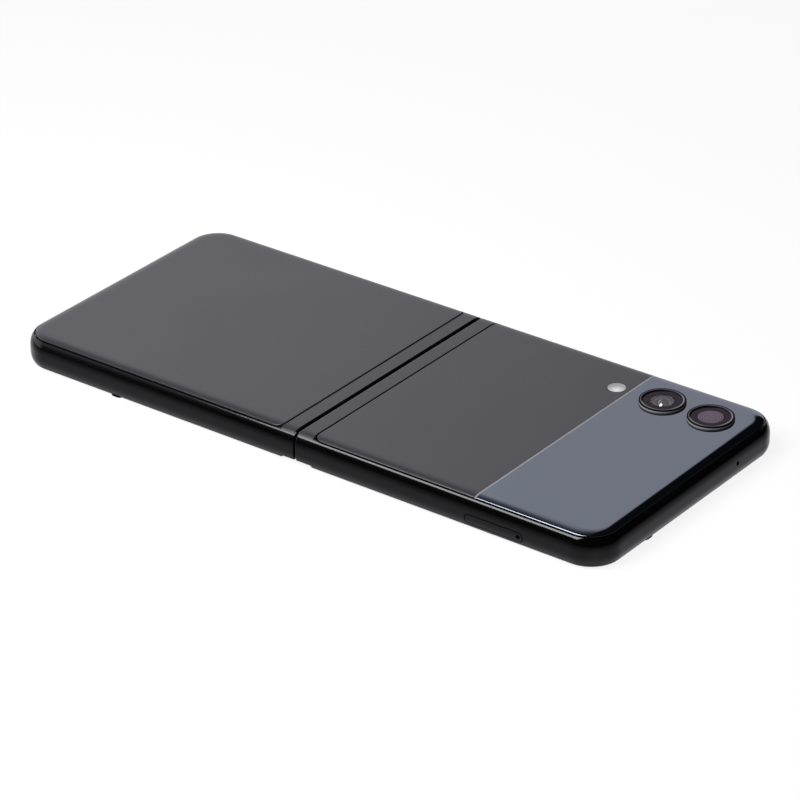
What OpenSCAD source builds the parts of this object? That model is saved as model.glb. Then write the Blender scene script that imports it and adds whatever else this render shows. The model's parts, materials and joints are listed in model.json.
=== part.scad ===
// Foldable smartphone, lying open and flat on its display, back covers up.
// +X runs from the fold to the camera end, +Y to the side with the keys, +Z out of
// the back covers. The origin is on the surface below the middle of the fold.
// The camera half is at +X. The other half is drawn at +X as well and mirrored.

/* [Body] */
// Length of each half, from the middle of the fold
half_l = 83; // [80:0.5:90]
// Width across the frame
body_w = 72.2; // [70:0.2:80]
// Thickness of a half, from the display surface to the back
half_t = 6.9; // [6.7:0.1:8]
// Radius of the outer corners, seen from above
corner_r = 8; // [7:0.5:12]
// How far the side draws in towards the back
side_top_in = 2.6; // [1.5:0.1:3.2]
// Height over which the side draws in towards the back
side_top_h = 3.6; // [3:0.1:4]
// How far the side draws in towards the front
side_low_in = 1.53; // [1:0.1:1.8]
// Height over which the side draws in towards the front
side_low_h = 2.78; // [2.4:0.1:2.8]
// Thickness of the frame's rim
rim_t = 2.5; // [2.3:0.1:3]
// Thickness of the frame's middle plate
mid_t = 0.8; // [0.7:0.05:1]
// Gap between the two halves
seam = 0.5; // [0.3:0.05:0.6]
// Width of the antenna breaks in the rim
break_w = 1; // [0.8:0.1:1.4]
// Distance of the lower end's antenna breaks from the sides
break_side = 9.1; // [8.5:0.1:12]
// Distance of the outer antenna break from the camera end
break_end = 11; // [9.5:0.5:12]
// Distance of the inner antenna break from the fold
break_fold = 10; // [9.5:0.1:10.5]

/* [Front] */
// Height of the bumpers above the bezel
bumper_h = 0.25; // [0.1:0.05:0.3]
// Length of a bumper
bumper_l = 3; // [2:0.5:5]
// Width of a bumper
bumper_w = 1.1; // [0.8:0.1:1.3]
// Depth of a bumper's seat in the bezel
bumper_seat = 0.3; // [0.2:0.05:0.4]
// Distance of the side bumpers from the end of their half
bumper_end = 29.8; // [25:1:40]
// Distance of the end bumpers from the middle
bumper_y = 16; // [10:1:24]
// Thickness of the raised bezel
bezel_t = 0.8; // [0.6:0.05:0.9]
// Width of the bezel, from the side of the frame
bezel_w = 3; // [2.8:0.1:4]
// Distance of the bezel's ends from the fold
bezel_x = 4.4; // [4.2:0.1:6]
// Thickness of the folding display
display_t = 0.35; // [0.3:0.05:0.4]
// Thickness of the display's backing plates
plate_t = 0.3; // [0.2:0.05:0.35]
// How far the display's edge lies inside the side of the frame
display_in = 1.8; // [1.7:0.05:2.2]
// Clearance round the display and its plates
display_gap = 0.1; // [0.05:0.01:0.12]

/* [Back] */
// Thickness of the back glass
glass_t = 0.65; // [0.5:0.05:0.75]
// Distance of the glass from the middle of the fold
glass_x = 4.16; // [3.5:0.1:5]
// Corner radius of the glass beside the fold
glass_r = 2; // [1:0.1:3]
// Clearance round the glass
glass_gap = 0.08; // [0.05:0.01:0.12]
// Length of the window over the cover display
window_l = 33.64; // [32.6:0.1:34]
// Thickness of the adhesive seal under the glass
seal_t = 0.1; // [0.05:0.01:0.15]
// Width of the adhesive seal
seal_w = 0.9; // [0.6:0.1:1]

/* [Hinge] */
// Distance of each fold axis from the middle
axis_x = 1.65; // [1.6:0.01:1.7]
// Outer radius of the spine cover, about each fold axis
spine_r = 5.05; // [5:0.01:5.1]
// Wall of the spine cover
spine_wall = 0.45; // [0.4:0.01:0.47]
// Clearance between the spine cover and its cradle in the frame
spine_gap = 0.3; // [0.28:0.01:0.35]
// Clearance at the spine cover's ends
spine_end_gap = 0.2; // [0.15:0.05:0.3]
// Thickness of the frame's sides beside the spine cover
cheek_side = 1.3; // [1.2:0.05:1.4]
// Height of the spine cover's lips above the fold axes
lip_h = 0.8; // [0.78:0.01:0.85]
// Height of the bracket's underside above the fold axes
bracket_h = 1.5; // [1.48:0.01:1.55]
// Distance of a hinge module's first cheek from the middle
module_y = 11.5; // [10:0.1:12.5]
// Thickness of the bracket's cheeks
cheek_t = 0.8; // [0.75:0.05:0.9]
// Width of a guide ring
guide_w = 3; // [2.6:0.1:3.2]
// Width of a gear sector
sector_w = 1.8; // [1.6:0.1:1.9]
// Side clearance of rings, sectors and gears
side_gap = 0.1; // [0.06:0.01:0.12]
// Inner radius of the guide rings
guide_ri = 2.4; // [2.38:0.01:2.45]
// Outer radius of the guide rings
guide_ro = 3.4; // [3.3:0.01:3.42]
// Running clearance of the guide rings
guide_gap = 0.04; // [0.03:0.01:0.06]
// Thickness of the rotators' arms
arm_t = 0.5; // [0.4:0.05:0.52]
// Length of the rotators' arms, from the middle
arm_l = 13; // [12.6:0.1:13.5]
// Distance of the arm screws from the middle
arm_screw_x = 10.5; // [10:0.1:10.8]

/* [Gears] */
// Pitch radius of the gears
gear_r = 1.16; // [1.15:0.01:1.17]
// Pitch radius of the toothed sectors
sector_r = 2.03; // [2.02:0.01:2.04]
// Teeth on a gear
gear_teeth = 12; // [12:1:12]
// Teeth that a full turn of a sector would have
sector_teeth = 21; // [21:1:21]
// Height of a tooth above the pitch circle
addendum = 0.135; // [0.12:0.005:0.15]
// Depth of a tooth below the pitch circle
dedendum = 0.23; // [0.2:0.005:0.24]
// Radius of the gear pins
pin_r = 0.35; // [0.3:0.01:0.4]
// Running clearance of the gears on their pins
pin_gap = 0.05; // [0.03:0.01:0.06]
// Outer radius of the friction washers
washer_r = 0.95; // [0.8:0.05:1]

/* [Cameras] */
// Distance of the second camera from the camera end
camera_end = 12; // [11.5:0.1:12.5]
// Distance between the two cameras
camera_pitch = 13; // [12.5:0.1:13.5]
// Distance of the cameras from the side of the frame
camera_side = 11.7; // [11.2:0.1:12]
// Outer radius of a camera ring
ring_r = 5.4; // [5.2:0.1:5.5]
// Radius of a camera's lens glass
lens_r = 4.5; // [4.3:0.1:4.7]
// How far a camera ring stands proud of the glass
ring_h = 0.65; // [0.4:0.05:0.8]
// How far the lens glass lies below the ring's edge
lens_sunk = 0.3; // [0.2:0.05:0.4]
// Width of a rear camera's body
camera_w = 9.6; // [9:0.1:10]
// Distance of the flash from the window
flash_back = 3.76; // [3.6:0.02:4]
// Radius of the flash lens
flash_r = 2.15; // [2:0.05:2.2]
// Distance of the front camera from the camera end
selfie_end = 8.8; // [8.6:0.1:9.5]
// Radius of the hole in the display for the front camera
selfie_r = 1.6; // [1.5:0.05:1.7]

/* [Keys] */
// Distance of the power key's middle from the fold
power_x = 25; // [24.5:0.5:26]
// Length of the volume rocker
volume_l = 20; // [18:0.5:21]
// Distance between the middles of the two keys
key_pitch = 25; // [24:0.5:26]
// Length of the power key
power_l = 14; // [13:0.5:15]
// Height of the keys' faces
key_h = 2.4; // [2.2:0.1:2.6]
// Height of the keys' middle above the display surface
key_z = 2.7; // [2.6:0.1:2.8]
// How far the rocker stands proud of the side
volume_proud = 0.35; // [0.2:0.05:0.5]
// Clearance round the keys
key_gap = 0.12; // [0.1:0.01:0.15]
// Depth that the keys can travel
key_room = 0.3; // [0.28:0.01:0.35]

/* [SIM tray] */
// Distance of the tray's middle from the camera end
tray_end = 28.05; // [27.5:0.05:28.5]
// Length of the tray's faceplate
tray_l = 15.3; // [14.8:0.1:15.8]
// Height of the tray's faceplate
tray_h = 2.1; // [2:0.05:2.2]
// Height of the faceplate's middle above the display surface
tray_z = 1.5; // [1.45:0.05:1.55]
// Depth of the tray's faceplate
tray_face = 1; // [0.8:0.1:1.1]
// Width of the tray behind its faceplate
tray_w = 13.5; // [13.3:0.1:13.8]
// Thickness of the tray behind its faceplate
tray_t = 0.7; // [0.6:0.05:0.75]
// Length of the whole tray
tray_depth = 17; // [16.5:0.5:18]
// Clearance round the tray
tray_gap = 0.08; // [0.06:0.01:0.1]
// Radius of the eject hole
eject_r = 0.4; // [0.3:0.05:0.45]

/* [Ports] */
// Width of the USB-C shell
usb_w = 8.94; // [8.8:0.01:9.1]
// Height of the USB-C shell
usb_h = 3.2; // [3.1:0.01:3.3]
// Length of the USB-C shell
usb_l = 8; // [7:0.1:8.5]
// Wall of the USB-C shell
usb_wall = 0.3; // [0.25:0.01:0.35]
// Height of the USB-C port's middle above the display surface
usb_z = 3.35; // [3.3:0.05:3.4]
// Radius of the microphone holes
mic_r = 0.4; // [0.3:0.05:0.5]
// Distance of the microphones from the side of the frame
mic_side = 18.3; // [17.5:0.1:19]
// Number of loudspeaker holes
speaker_holes = 6; // [4:1:7]
// Distance between two loudspeaker holes
speaker_pitch = 2.4; // [2:0.1:2.6]
// Length of the loudspeaker
speaker_l = 11.8; // [10:0.1:12]
// Width of the loudspeaker
speaker_w = 20.6; // [18:0.1:21]

/* [Inside] */
// Where the batteries begin, from the fold
battery_x = 13.6; // [13.6:0.1:14]
// Distance of the lower battery from the sides of the frame
cell_side = 11.1; // [8:0.1:14]
// Gap between a battery and the board beside it
cell_gap = 2; // [1:0.1:3]
// Thickness of the batteries
cell_t = 3.9; // [3.5:0.1:4]
// Length of the sub board, from the end of its half
sub_board_end = 24; // [23:0.1:25]
// Length of the main board, from the camera end
main_board_end = 39.5; // [39:0.1:40]
// Distance of the main board from the side of the frame
board_side = 5.1; // [5:0.1:5.4]
// Width of the main board's leg beside the battery
board_leg = 12.5; // [12:0.1:13]
// Distance of the boards from the ends of the phone
board_end = 4; // [3.8:0.1:4.4]
// Length of the cover display
cover_l = 21.8; // [20:0.1:22]
// Thickness of the circuit boards
board_t = 0.7; // [0.6:0.05:0.8]
// Height of the lower board above the frame's floor
lower_board_h = 0.4; // [0.3:0.05:0.5]
// Height of the main board above the frame's floor
main_board_h = 1.9; // [1.85:0.05:1.95]
// Height of the shield cans
can_h = 1; // [0.8:0.05:1.05]
// Thickness of the brackets' plates
bracket_t = 0.4; // [0.35:0.05:0.45]
// Width of the flex cable across the hinge
flex_w = 12; // [10:0.5:14]
// Clearance between pieces laid on each other
lay_gap = 0.05; // [0.03:0.01:0.08]
// Radius of a screw's shank
screw_r = 0.5; // [0.4:0.05:0.6]
// Radius of a screw's head
head_r = 0.95; // [0.8:0.05:1.05]
// Radius of the screw posts
post_r = 1.4; // [1.3:0.05:1.5]

/* [Hidden] */
$fn = 48;

// Heights, from the surface that the phone lies on
z_bezel = bumper_h;
z_disp = z_bezel + bezel_t;
z_plate = z_disp + display_t;
z_mid = z_plate + plate_t;
z_floor = z_mid + mid_t;
z_back = z_disp + half_t;
z_glass = z_back - glass_t;
z_seal = z_glass - seal_t;
z_wide_top = z_back - side_top_h;
z_wide_low = side_low_h + 0.06;

// Widths and lengths shared by the pieces
half_w = body_w / 2;
cradle_r = spine_r + spine_gap;
cradle_y = half_w - cheek_side;
spine_y = cradle_y - spine_end_gap;
pocket_x = axis_x + cradle_r + 1.2;
glass_in = side_in(z_glass);
fold_x = bezel_x + 0.05;
plate_x = 0.6;
far = 200;

// Stations of the hinge module, from its first cheek outwards
v_guide_l = cheek_t;
v_guide_u = v_guide_l + guide_w + 2 * side_gap + cheek_t;
v_sector_l = v_guide_u + guide_w + 2 * side_gap + cheek_t;
v_sector_u = v_sector_l + sector_w + 2 * side_gap;
v_idler = v_sector_u + sector_w + 2 * side_gap;
v_cheek = v_idler + sector_w + 2 * side_gap;
v_end = v_cheek + cheek_t;
ear_l = 3;

// Gear train: mesh angle, centres and tooth angles
mesh_angle = 125;
gear_z = z_disp + (gear_r + sector_r) * sin(mesh_angle);
outer_x = axis_x - (gear_r + sector_r) * cos(mesh_angle);
idler_x = outer_x - 2 * gear_r;
chamber_top = gear_z + gear_r + addendum + 0.06;

// Places along and across a half
rim_in = rim_t;
bumper_x = half_l - bumper_end;
window_x = half_l - window_l;
camera2_x = half_l - camera_end;
camera1_x = camera2_x - camera_pitch;
camera_y = half_w - camera_side;
flash_x = window_x - flash_back;
selfie_x = half_l - selfie_end;
volume_x = power_x + key_pitch;
tray_x = half_l - tray_end;
mic_y = half_w - mic_side;
sub_x = half_l - sub_board_end;
board_x = half_l - main_board_end;
board_y = half_w - board_side;
leg_y = board_y - board_leg;
board_x1 = half_l - board_end;
speaker_y = half_w - 5 - speaker_w;
lower_cell_l = sub_x - cell_gap - battery_x;
upper_cell_l = board_x - cell_gap - 0.5 - battery_x;
lower_posts = [[sub_x + 3, half_w - 6.8], [sub_x + 3, 6.8 - half_w],
    [half_l - 7, 8.1 - half_w], [half_l - 13, speaker_y - 2.9]];
upper_posts = [[battery_x + 3.4, leg_y + 3.5], [board_x - 3.5, leg_y + 2.3],
    [board_x + 3, tray_depth + 5.1 - half_w], [board_x + 8, leg_y - 5]];
z_board_low = z_floor + lower_board_h;
z_board = z_floor + main_board_h;
z_bracket = z_seal - bracket_t - 0.2;
key_mid = z_disp + key_z;
tray_mid = z_disp + tray_z;
usb_mid = z_disp + usb_z;
usb_x = half_l - 0.4 - usb_l;
coil_x = battery_x + lower_cell_l / 2;
wall_y = half_w - rim_in;

// Colours
frame_col = "#1b1b1d";
satin_col = "#5c5c61";
gloss_col = "#6a6f78";
plastic_col = "#18181a";
steel_col = "#b8babd";
brass_col = "#b59b5c";
board_col = "#1f4a35";
cell_col = "#2c2d31";
rubber_col = "#222224";

// How far the side lies inside the widest line, at a height
function side_in(z) =
    z > z_wide_top
        ? side_top_in * (1 - sqrt(max(0, 1 - pow((z - z_wide_top) / side_top_h, 2))))
    : z < z_wide_low
        ? side_low_in * (1 - sqrt(max(0, 1 - pow((z_wide_low - z) / side_low_h, 2))))
    : 0;

// Heights at which the side's curve is drawn, between two levels
function side_heights(za, zb) = concat(
    [za],
    [for (a = [80:-10:0]) let (z = z_wide_low - side_low_h * sin(a))
        if (z > za + 0.02 && z < zb - 0.02) z],
    [for (a = [0:10:80]) let (z = z_wide_top + side_top_h * sin(a))
        if (z > za + 0.02 && z < zb - 0.02) z],
    [zb]);

function reversed(list) = [for (i = [len(list) - 1:-1:0]) list[i]];

module along_x(l) { rotate([90, 0, 90]) linear_extrude(l) children(); }
module along_y(l) { translate([0, l, 0]) rotate([90, 0, 0]) linear_extrude(l) children(); }
module slab(za, zb) { translate([0, 0, za]) linear_extrude(zb - za) children(); }
module lower_side() { mirror([1, 0, 0]) children(); }
module both_ends() { children(); mirror([0, 1, 0]) children(); }

// Box between two corners
module block(a, b) { translate(a) cube(b - a); }

// Half of the body between two levels, with its curved sides, from x0 outwards
module curved_half(x0, za, zb, e = 0) {
    hs = side_heights(za, zb);
    w = half_w - e;
    l = half_l - e;
    r = corner_r - e;
    translate([x0, 0, 0]) along_x(l - r - x0)
        polygon(concat([for (z = hs) [w - side_in(z), z]],
            [for (z = reversed(hs)) [side_in(z) - w, z]]));
    translate([0, r - w, 0]) along_y(2 * (w - r))
        polygon(concat([[l - r - 0.01, za]], [for (z = hs) [l - side_in(z), z]],
            [[l - r - 0.01, zb]]));
    for (s = [-1, 1]) translate([l - r, s * (w - r), 0]) rotate([0, 0, s < 0 ? -90 : 0])
        rotate_extrude(angle = 90)
            polygon(concat([[0, za]], [for (z = hs) [r - side_in(z), z]], [[0, zb]]));
}

// Plan of a plate from x0 to x1, with its own corner radii at the two ends
module plan(x0, x1, w, r0, r1) {
    translate([x0 + r0, -w]) square([x1 - r1 - x0 - r0, 2 * w]);
    translate([x0, r0 - w]) square([r0 + 0.01, 2 * (w - r0)]);
    translate([x1 - r1 - 0.01, r1 - w]) square([r1 + 0.01, 2 * (w - r1)]);
    for (s = [-1, 1]) {
        if (r0 > 0) translate([x0 + r0, s * (w - r0)]) circle(r0);
        if (r1 > 0) translate([x1 - r1, s * (w - r1)]) circle(r1);
    }
}

// Plan of half of the body, drawn in by e from the widest line
module half_plan(x0, e, r0 = 0) {
    plan(x0, half_l - e, half_w - e, r0, corner_r - e);
}

// Rectangle with round corners, centred
module round_rect(l, w, r) {
    square([l - 2 * r, w], center = true);
    square([l, w - 2 * r], center = true);
    for (x = [-1, 1], y = [-1, 1]) translate([x * (l / 2 - r), y * (w / 2 - r)]) circle(r);
}

// Ring segment about the Y axis, between two angles from +X towards +Z
module arc_y(ri, ro, a0, a1, l) {
    translate([0, l, 0]) rotate([90, 0, 0]) rotate([0, 0, a0])
        rotate_extrude(angle = a1 - a0) translate([ri, 0]) square([ro - ri, l]);
}

module drum_y(r, l) { translate([0, l, 0]) rotate([90, 0, 0]) cylinder(r = r, h = l); }

// Screw standing at z0, its head seated at z1
module screw(z0, z1, head_t) {
    translate([0, 0, z0]) cylinder(r = screw_r, h = z1 - z0 + head_t);
    translate([0, 0, z1]) cylinder(r = head_r, h = head_t);
}

// ---- Pieces that both halves have ----

module frame_half() {
    difference() {
        curved_half(seam / 2, z_disp, z_back);
        slab(z_glass, z_back + 1) half_plan(glass_x - glass_gap, glass_in - 0.1, glass_r);
        slab(z_floor, z_back) half_plan(pocket_x, rim_in, 1.5);
        slab(z_seal, z_back) half_plan(pocket_x - seal_w, rim_in - seal_w, 1.5);
        slab(z_disp - 1, z_mid) half_plan(0, display_in - display_gap);
        translate([axis_x, -cradle_y, z_disp]) drum_y(cradle_r, 2 * cradle_y);
        both_ends() {
            block([0, module_y + v_guide_l, z_disp],
                [arm_l + side_gap, module_y + v_idler, z_mid + arm_t + side_gap]);
            arm_screws() translate([0, 0, z_mid]) cylinder(r = screw_r + 0.02, h = 1.6);
        }
    }
    both_ends() arm_screws() difference() {
        translate([0, 0, z_floor - 0.01]) cylinder(r = 1.2, h = 1.1);
        translate([0, 0, z_mid]) cylinder(r = screw_r + 0.02, h = 1.6);
    }
}

module arm_screws() {
    for (v = [v_guide_l + 2.2, v_sector_l + 1.7])
        translate([arm_screw_x, module_y + v, 0]) children();
}

module posts(spots, z1) {
    for (p = spots) translate([p[0], p[1], 0]) difference() {
        translate([0, 0, z_floor - 0.01]) cylinder(r = post_r, h = z1 - z_floor + 0.01);
        translate([0, 0, z_floor + 0.4]) cylinder(r = screw_r + 0.02, h = z1);
    }
}

module glass_half(x0, x1, r0) {
    intersection() {
        curved_half(x0, z_glass, z_back, glass_gap);
        slab(z_glass - 1, z_back + 1) plan(x0, x1, half_w, 0, 0);
        slab(z_glass - 1, z_back + 1) half_plan(glass_x, glass_in, glass_r);
    }
}

module seal_half() {
    slab(z_seal, z_glass) difference() {
        half_plan(pocket_x - seal_w + 0.05, rim_in - seal_w + 0.05, 1.5);
        half_plan(pocket_x, rim_in, 1.5);
    }
}

module bezel_half() {
    difference() {
        curved_half(bezel_x, z_bezel, z_disp);
        slab(z_bezel - 1, z_disp + 1) half_plan(0, bezel_w);
        bumper_spots() slab(z_bezel - 1, z_bezel + bumper_seat) round_rect(bumper_l + 0.1,
            bumper_w + 0.1, bumper_w / 2);
    }
}

module bumper_spots() {
    for (s = [-1, 1]) {
        translate([bumper_x, s * (half_w - 1.75), 0]) children();
        translate([half_l - 2, s * bumper_y, 0]) rotate([0, 0, 90]) children();
    }
}

module bumpers_half() {
    bumper_spots() slab(0, z_bezel + bumper_seat - 0.01)
        round_rect(bumper_l, bumper_w, bumper_w / 2 - 0.02);
}

module display_half() { slab(z_disp, z_plate) half_plan(fold_x, display_in); }

module plate_half() {
    difference() {
        slab(z_plate, z_mid) half_plan(plate_x, display_in + 1);
        for (i = [0:5], y = [6.1 - half_w:4:half_w - 6])
            translate([plate_x + 0.6 + 0.9 * i, y + (i % 2) * 2, z_plate - 1])
                cube([0.3, 2.6, 3]);
    }
}

// Plan of one gear tooth's flanks: half angles at the root, pitch and tip circles
function tooth(r, n, a) = let (p = 360 / n) [
    for (q = [[r - dedendum, -0.33], [r, -0.215], [r + addendum, -0.11],
            [r + addendum, 0.11], [r, 0.215], [r - dedendum, 0.33]])
        [q[0] * cos(a + q[1] * p), q[0] * sin(a + q[1] * p)]];

module gear_plan(first) {
    difference() {
        polygon([for (i = [0:gear_teeth - 1])
            each tooth(gear_r, gear_teeth, first + i * 360 / gear_teeth)]);
        circle(pin_r + pin_gap);
    }
}

module gear(x, first, v0, v1) {
    both_ends() translate([x, module_y + v0 + side_gap, gear_z])
        along_y(v1 - v0 - 2 * side_gap) gear_plan(first);
}

// Angle of the first tooth of each gear, and of a tooth gap of each sector
first_tooth = [0, 15, 0, 15];
gap_lower = mesh_angle + 5 * gear_teeth / sector_teeth;
gap_upper = 180 - mesh_angle + 10 * gear_teeth / sector_teeth;

// Toothed sector about a fold axis; dir is 1 for the lower half, -1 for the upper
module sector_plan(gap, dir) {
    p = 360 / sector_teeth;
    angles = [for (i = [-6:6]) let (a = gap + (i + 0.5) * p)
        if (dir > 0 ? a > 30 && a < 146 : a < 150 && a > 34) a];
    a0 = dir > 0 ? 29.5 : 21;
    a1 = dir > 0 ? 159 : 150.5;
    polygon(concat(
        [for (a = angles) each tooth(sector_r, sector_teeth, a)],
        [for (a = [a1:-8.5:a0]) 1.4 * [cos(a), sin(a)]]));
    difference() {
        intersection() {
            circle(sector_r - dedendum + 0.001);
            polygon([[0, 0], for (a = [a0:(a1 - a0) / 8:a1 + 0.1]) 4 * [cos(a), sin(a)]]);
        }
        circle(1.4);
    }
}

// A rotator: arm on the frame, guide ring and toothed sector
module rotator(dir) {
    sx = dir > 0 ? -1 : 1;
    vg = dir > 0 ? v_guide_l : v_guide_u;
    vs = dir > 0 ? v_sector_l : v_sector_u;
    both_ends() translate([0, module_y, 0]) difference() {
        union() {
            block([min(sx * 3.05, sx * arm_l), v_guide_l + side_gap, z_mid],
                [max(sx * 3.05, sx * arm_l), v_idler - side_gap, z_mid + arm_t]);
            intersection() {
                translate([sx * axis_x, 0, z_disp]) {
                    translate([0, vg + side_gap, 0]) arc_y(guide_ri, guide_ro,
                        dir > 0 ? 26 : 8, dir > 0 ? 172 : 154, guide_w);
                    translate([0, vs + side_gap, 0]) along_y(sector_w)
                        sector_plan(dir > 0 ? gap_lower : gap_upper, dir);
                }
                block([-20, -1, z_mid], [20, 40, z_mid + 20]);
            }
        }
        for (v = [v_guide_l + 2.2, v_sector_l + 1.7]) translate([sx * arm_screw_x, v, 0]) {
            translate([0, 0, z_mid - 1]) cylinder(r = screw_r + 0.02, h = 5);
            translate([0, 0, z_mid - 1]) cylinder(r = head_r + 0.05, h = 1.25);
        }
    }
}

module arm_screw_set() {
    both_ends() arm_screws() {
        translate([0, 0, z_mid + 0.02]) cylinder(r = head_r, h = 0.22);
        translate([0, 0, z_mid + 0.22]) cylinder(r = screw_r, h = 1.2);
    }
}

// ---- Lower half ----

module lower_frame() color(frame_col) lower_side() {
    difference() {
        frame_half();
        translate([half_l - rim_in - 1, 0, usb_mid]) along_x(5)
            round_rect(usb_w + 0.06, usb_h + 0.06, usb_h / 2);
        for (i = [0:speaker_holes - 1])
            translate([half_l - rim_in - 1, speaker_y + 1.5 + speaker_pitch * i, usb_mid])
            rotate([0, 90, 0]) cylinder(r = 0.6, h = 5);
        translate([half_l - rim_in - 1, -mic_y, usb_mid]) rotate([0, 90, 0])
            cylinder(r = mic_r, h = 5);
        breaks_lower(0.02);
    }
    posts(lower_posts, z_board_low);
}

module breaks_lower(g) {
    for (s = [-1, 1]) intersection() {
        curved_half(seam / 2, z_mid, z_glass);
        block([half_l - rim_in + seal_w + 0.1, s * (half_w - break_side) - break_w / 2 - g, 0],
            [half_l + 1, s * (half_w - break_side) + break_w / 2 + g, 20]);
    }
}

module lower_antenna_breaks() color(plastic_col) lower_side() breaks_lower(0);
module lower_back_glass() color(satin_col) lower_side() glass_half(glass_x, half_l, glass_r);
module lower_glass_seal() color(rubber_col) lower_side() seal_half();
module lower_bezel() color(plastic_col) lower_side() bezel_half();
module lower_bumpers() color(rubber_col) lower_side() bumpers_half();
module display_lower() color("#0c0d10") lower_side() display_half();
module display_plate_lower() color(steel_col) lower_side() plate_half();
module lower_rotators() color(steel_col) rotator(1);

module lower_battery() color(cell_col) lower_side()
    translate([battery_x + lower_cell_l / 2, 0, 0]) slab(z_floor + lay_gap, z_floor + cell_t)
        round_rect(lower_cell_l, body_w - 2 * cell_side, 1);

module charging_coil() color(brass_col) lower_side() translate([coil_x, 0, 0]) {
    coil_z = z_floor + cell_t + lay_gap;
    slab(coil_z, coil_z + 0.15) round_rect(lower_cell_l - 1, lower_cell_l - 1, 3);
    coil_ro = lower_cell_l / 2 - 2.2;
    coil_ri = coil_ro - 10;
    rotate_extrude() polygon(concat([[coil_ro, coil_z + 0.15], [coil_ri, coil_z + 0.15]],
        [for (i = [0:9]) each [[coil_ri + i, coil_z + 0.3], [coil_ri + i + 0.25, coil_z + 0.45],
            [coil_ri + i + 0.75, coil_z + 0.45]]], [[coil_ro, coil_z + 0.3]]));
}

module sub_board() color(board_col) lower_side() {
    slab(z_board_low, z_board_low + board_t) difference() {
        union() {
            translate([sub_x, 4.1 - half_w]) square([7.4, body_w - 8.2]);
            translate([sub_x + 7, 5.6 - half_w])
                square([board_x1 - sub_x - 7, speaker_y - 1 + half_w - 5.6]);
        }
        for (p = lower_posts) translate(p) circle(screw_r + 0.1);
        translate([usb_x - 0.4, -usb_w / 2 - 0.3]) square([9, usb_w + 0.6]);
    }
}

module usb_port() color(steel_col) lower_side() {
    translate([usb_x, 0, usb_mid]) along_x(usb_l) difference() {
        round_rect(usb_w, usb_h, usb_h / 2 - 0.01);
        round_rect(usb_w - 2 * usb_wall, usb_h - 2 * usb_wall, usb_h / 2 - usb_wall - 0.01);
    }
    translate([usb_x, 0, usb_mid]) along_x(0.8)
        round_rect(usb_w - 0.1, usb_h - 0.1, usb_h / 2 - 0.1);
    translate([usb_x + 0.4, 0, usb_mid]) along_x(usb_l - 1.2) square([6.7, 0.7], center = true);
}

module loudspeaker() color(plastic_col) lower_side()
    translate([half_l - 10, speaker_y + speaker_w / 2, 0])
        slab(z_floor + lay_gap, z_bracket - 0.2) round_rect(speaker_l, speaker_w, 1.5);

module bottom_mic() color(brass_col) lower_side()
    block([board_x1 - 2.8, -mic_y - 1.6, z_board_low + board_t],
        [board_x1, -mic_y + 1.6, z_board_low + board_t + 1.1]);

module vibration_motor() color(steel_col) lower_side()
    translate([sub_x + 9.6, 14.6 - half_w, z_board_low + board_t]) cylinder(r = 4, h = 2.7);

module lower_bracket() color(plastic_col) lower_side() difference() {
    union() {
        slab(z_bracket, z_bracket + bracket_t)
            plan(sub_x, half_l - 3, half_w - 3.3, 1, corner_r - 3);
        for (p = lower_posts) translate([p[0], p[1], z_board_low + board_t])
            cylinder(r = post_r - 0.1, h = z_bracket - z_board_low - board_t + 0.01);
    }
    for (p = lower_posts) translate([p[0], p[1], 0]) {
        cylinder(r = screw_r + 0.02, h = far);
        translate([0, 0, z_bracket + 0.15]) cylinder(r = head_r + 0.05, h = far);
    }
}

module lower_screws() color(steel_col) lower_side() {
    for (p = lower_posts) translate([p[0], p[1], 0])
        screw(z_floor + 0.5, z_bracket + 0.15, 0.3);
    arm_screw_set();
}

// ---- Hinge ----

// Section of the spine, at a radius about both fold axes
module spine_plan(r) {
    for (s = [-1, 1]) translate([s * axis_x, 0]) circle(r, $fn = 96);
    translate([-axis_x, 0]) square([2 * axis_x, r]);
}

module above(h) { intersection() { children(); translate([-20, h]) square([40, 20]); } }

module spine_cover() color(satin_col) {
    difference() {
        translate([0, -spine_y, z_disp]) along_y(2 * spine_y) above(lip_h) difference() {
            spine_plan(spine_r);
            spine_plan(spine_r - spine_wall);
        }
        both_ends() block([-20, module_y + v_guide_l - 0.05, z_disp],
            [20, module_y + v_idler + 0.05, z_disp + bracket_h - 0.2]);
    }
    both_ends() translate([0, spine_y - 0.45, z_disp]) along_y(0.45)
        above(bracket_h) spine_plan(spine_r - spine_wall + 0.01);
    bosses = z_disp + spine_r - spine_wall;
    both_ends() for (v = [-ear_l / 2, v_end + ear_l / 2])
        translate([0, module_y + v, 0]) difference() {
            translate([0, 0, z_disp + 3.1]) cylinder(r = 1.1, h = bosses - z_disp - 3.09);
            translate([0, 0, z_disp + 3]) cylinder(r = screw_r + 0.02, h = 1.4);
        }
}

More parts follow.
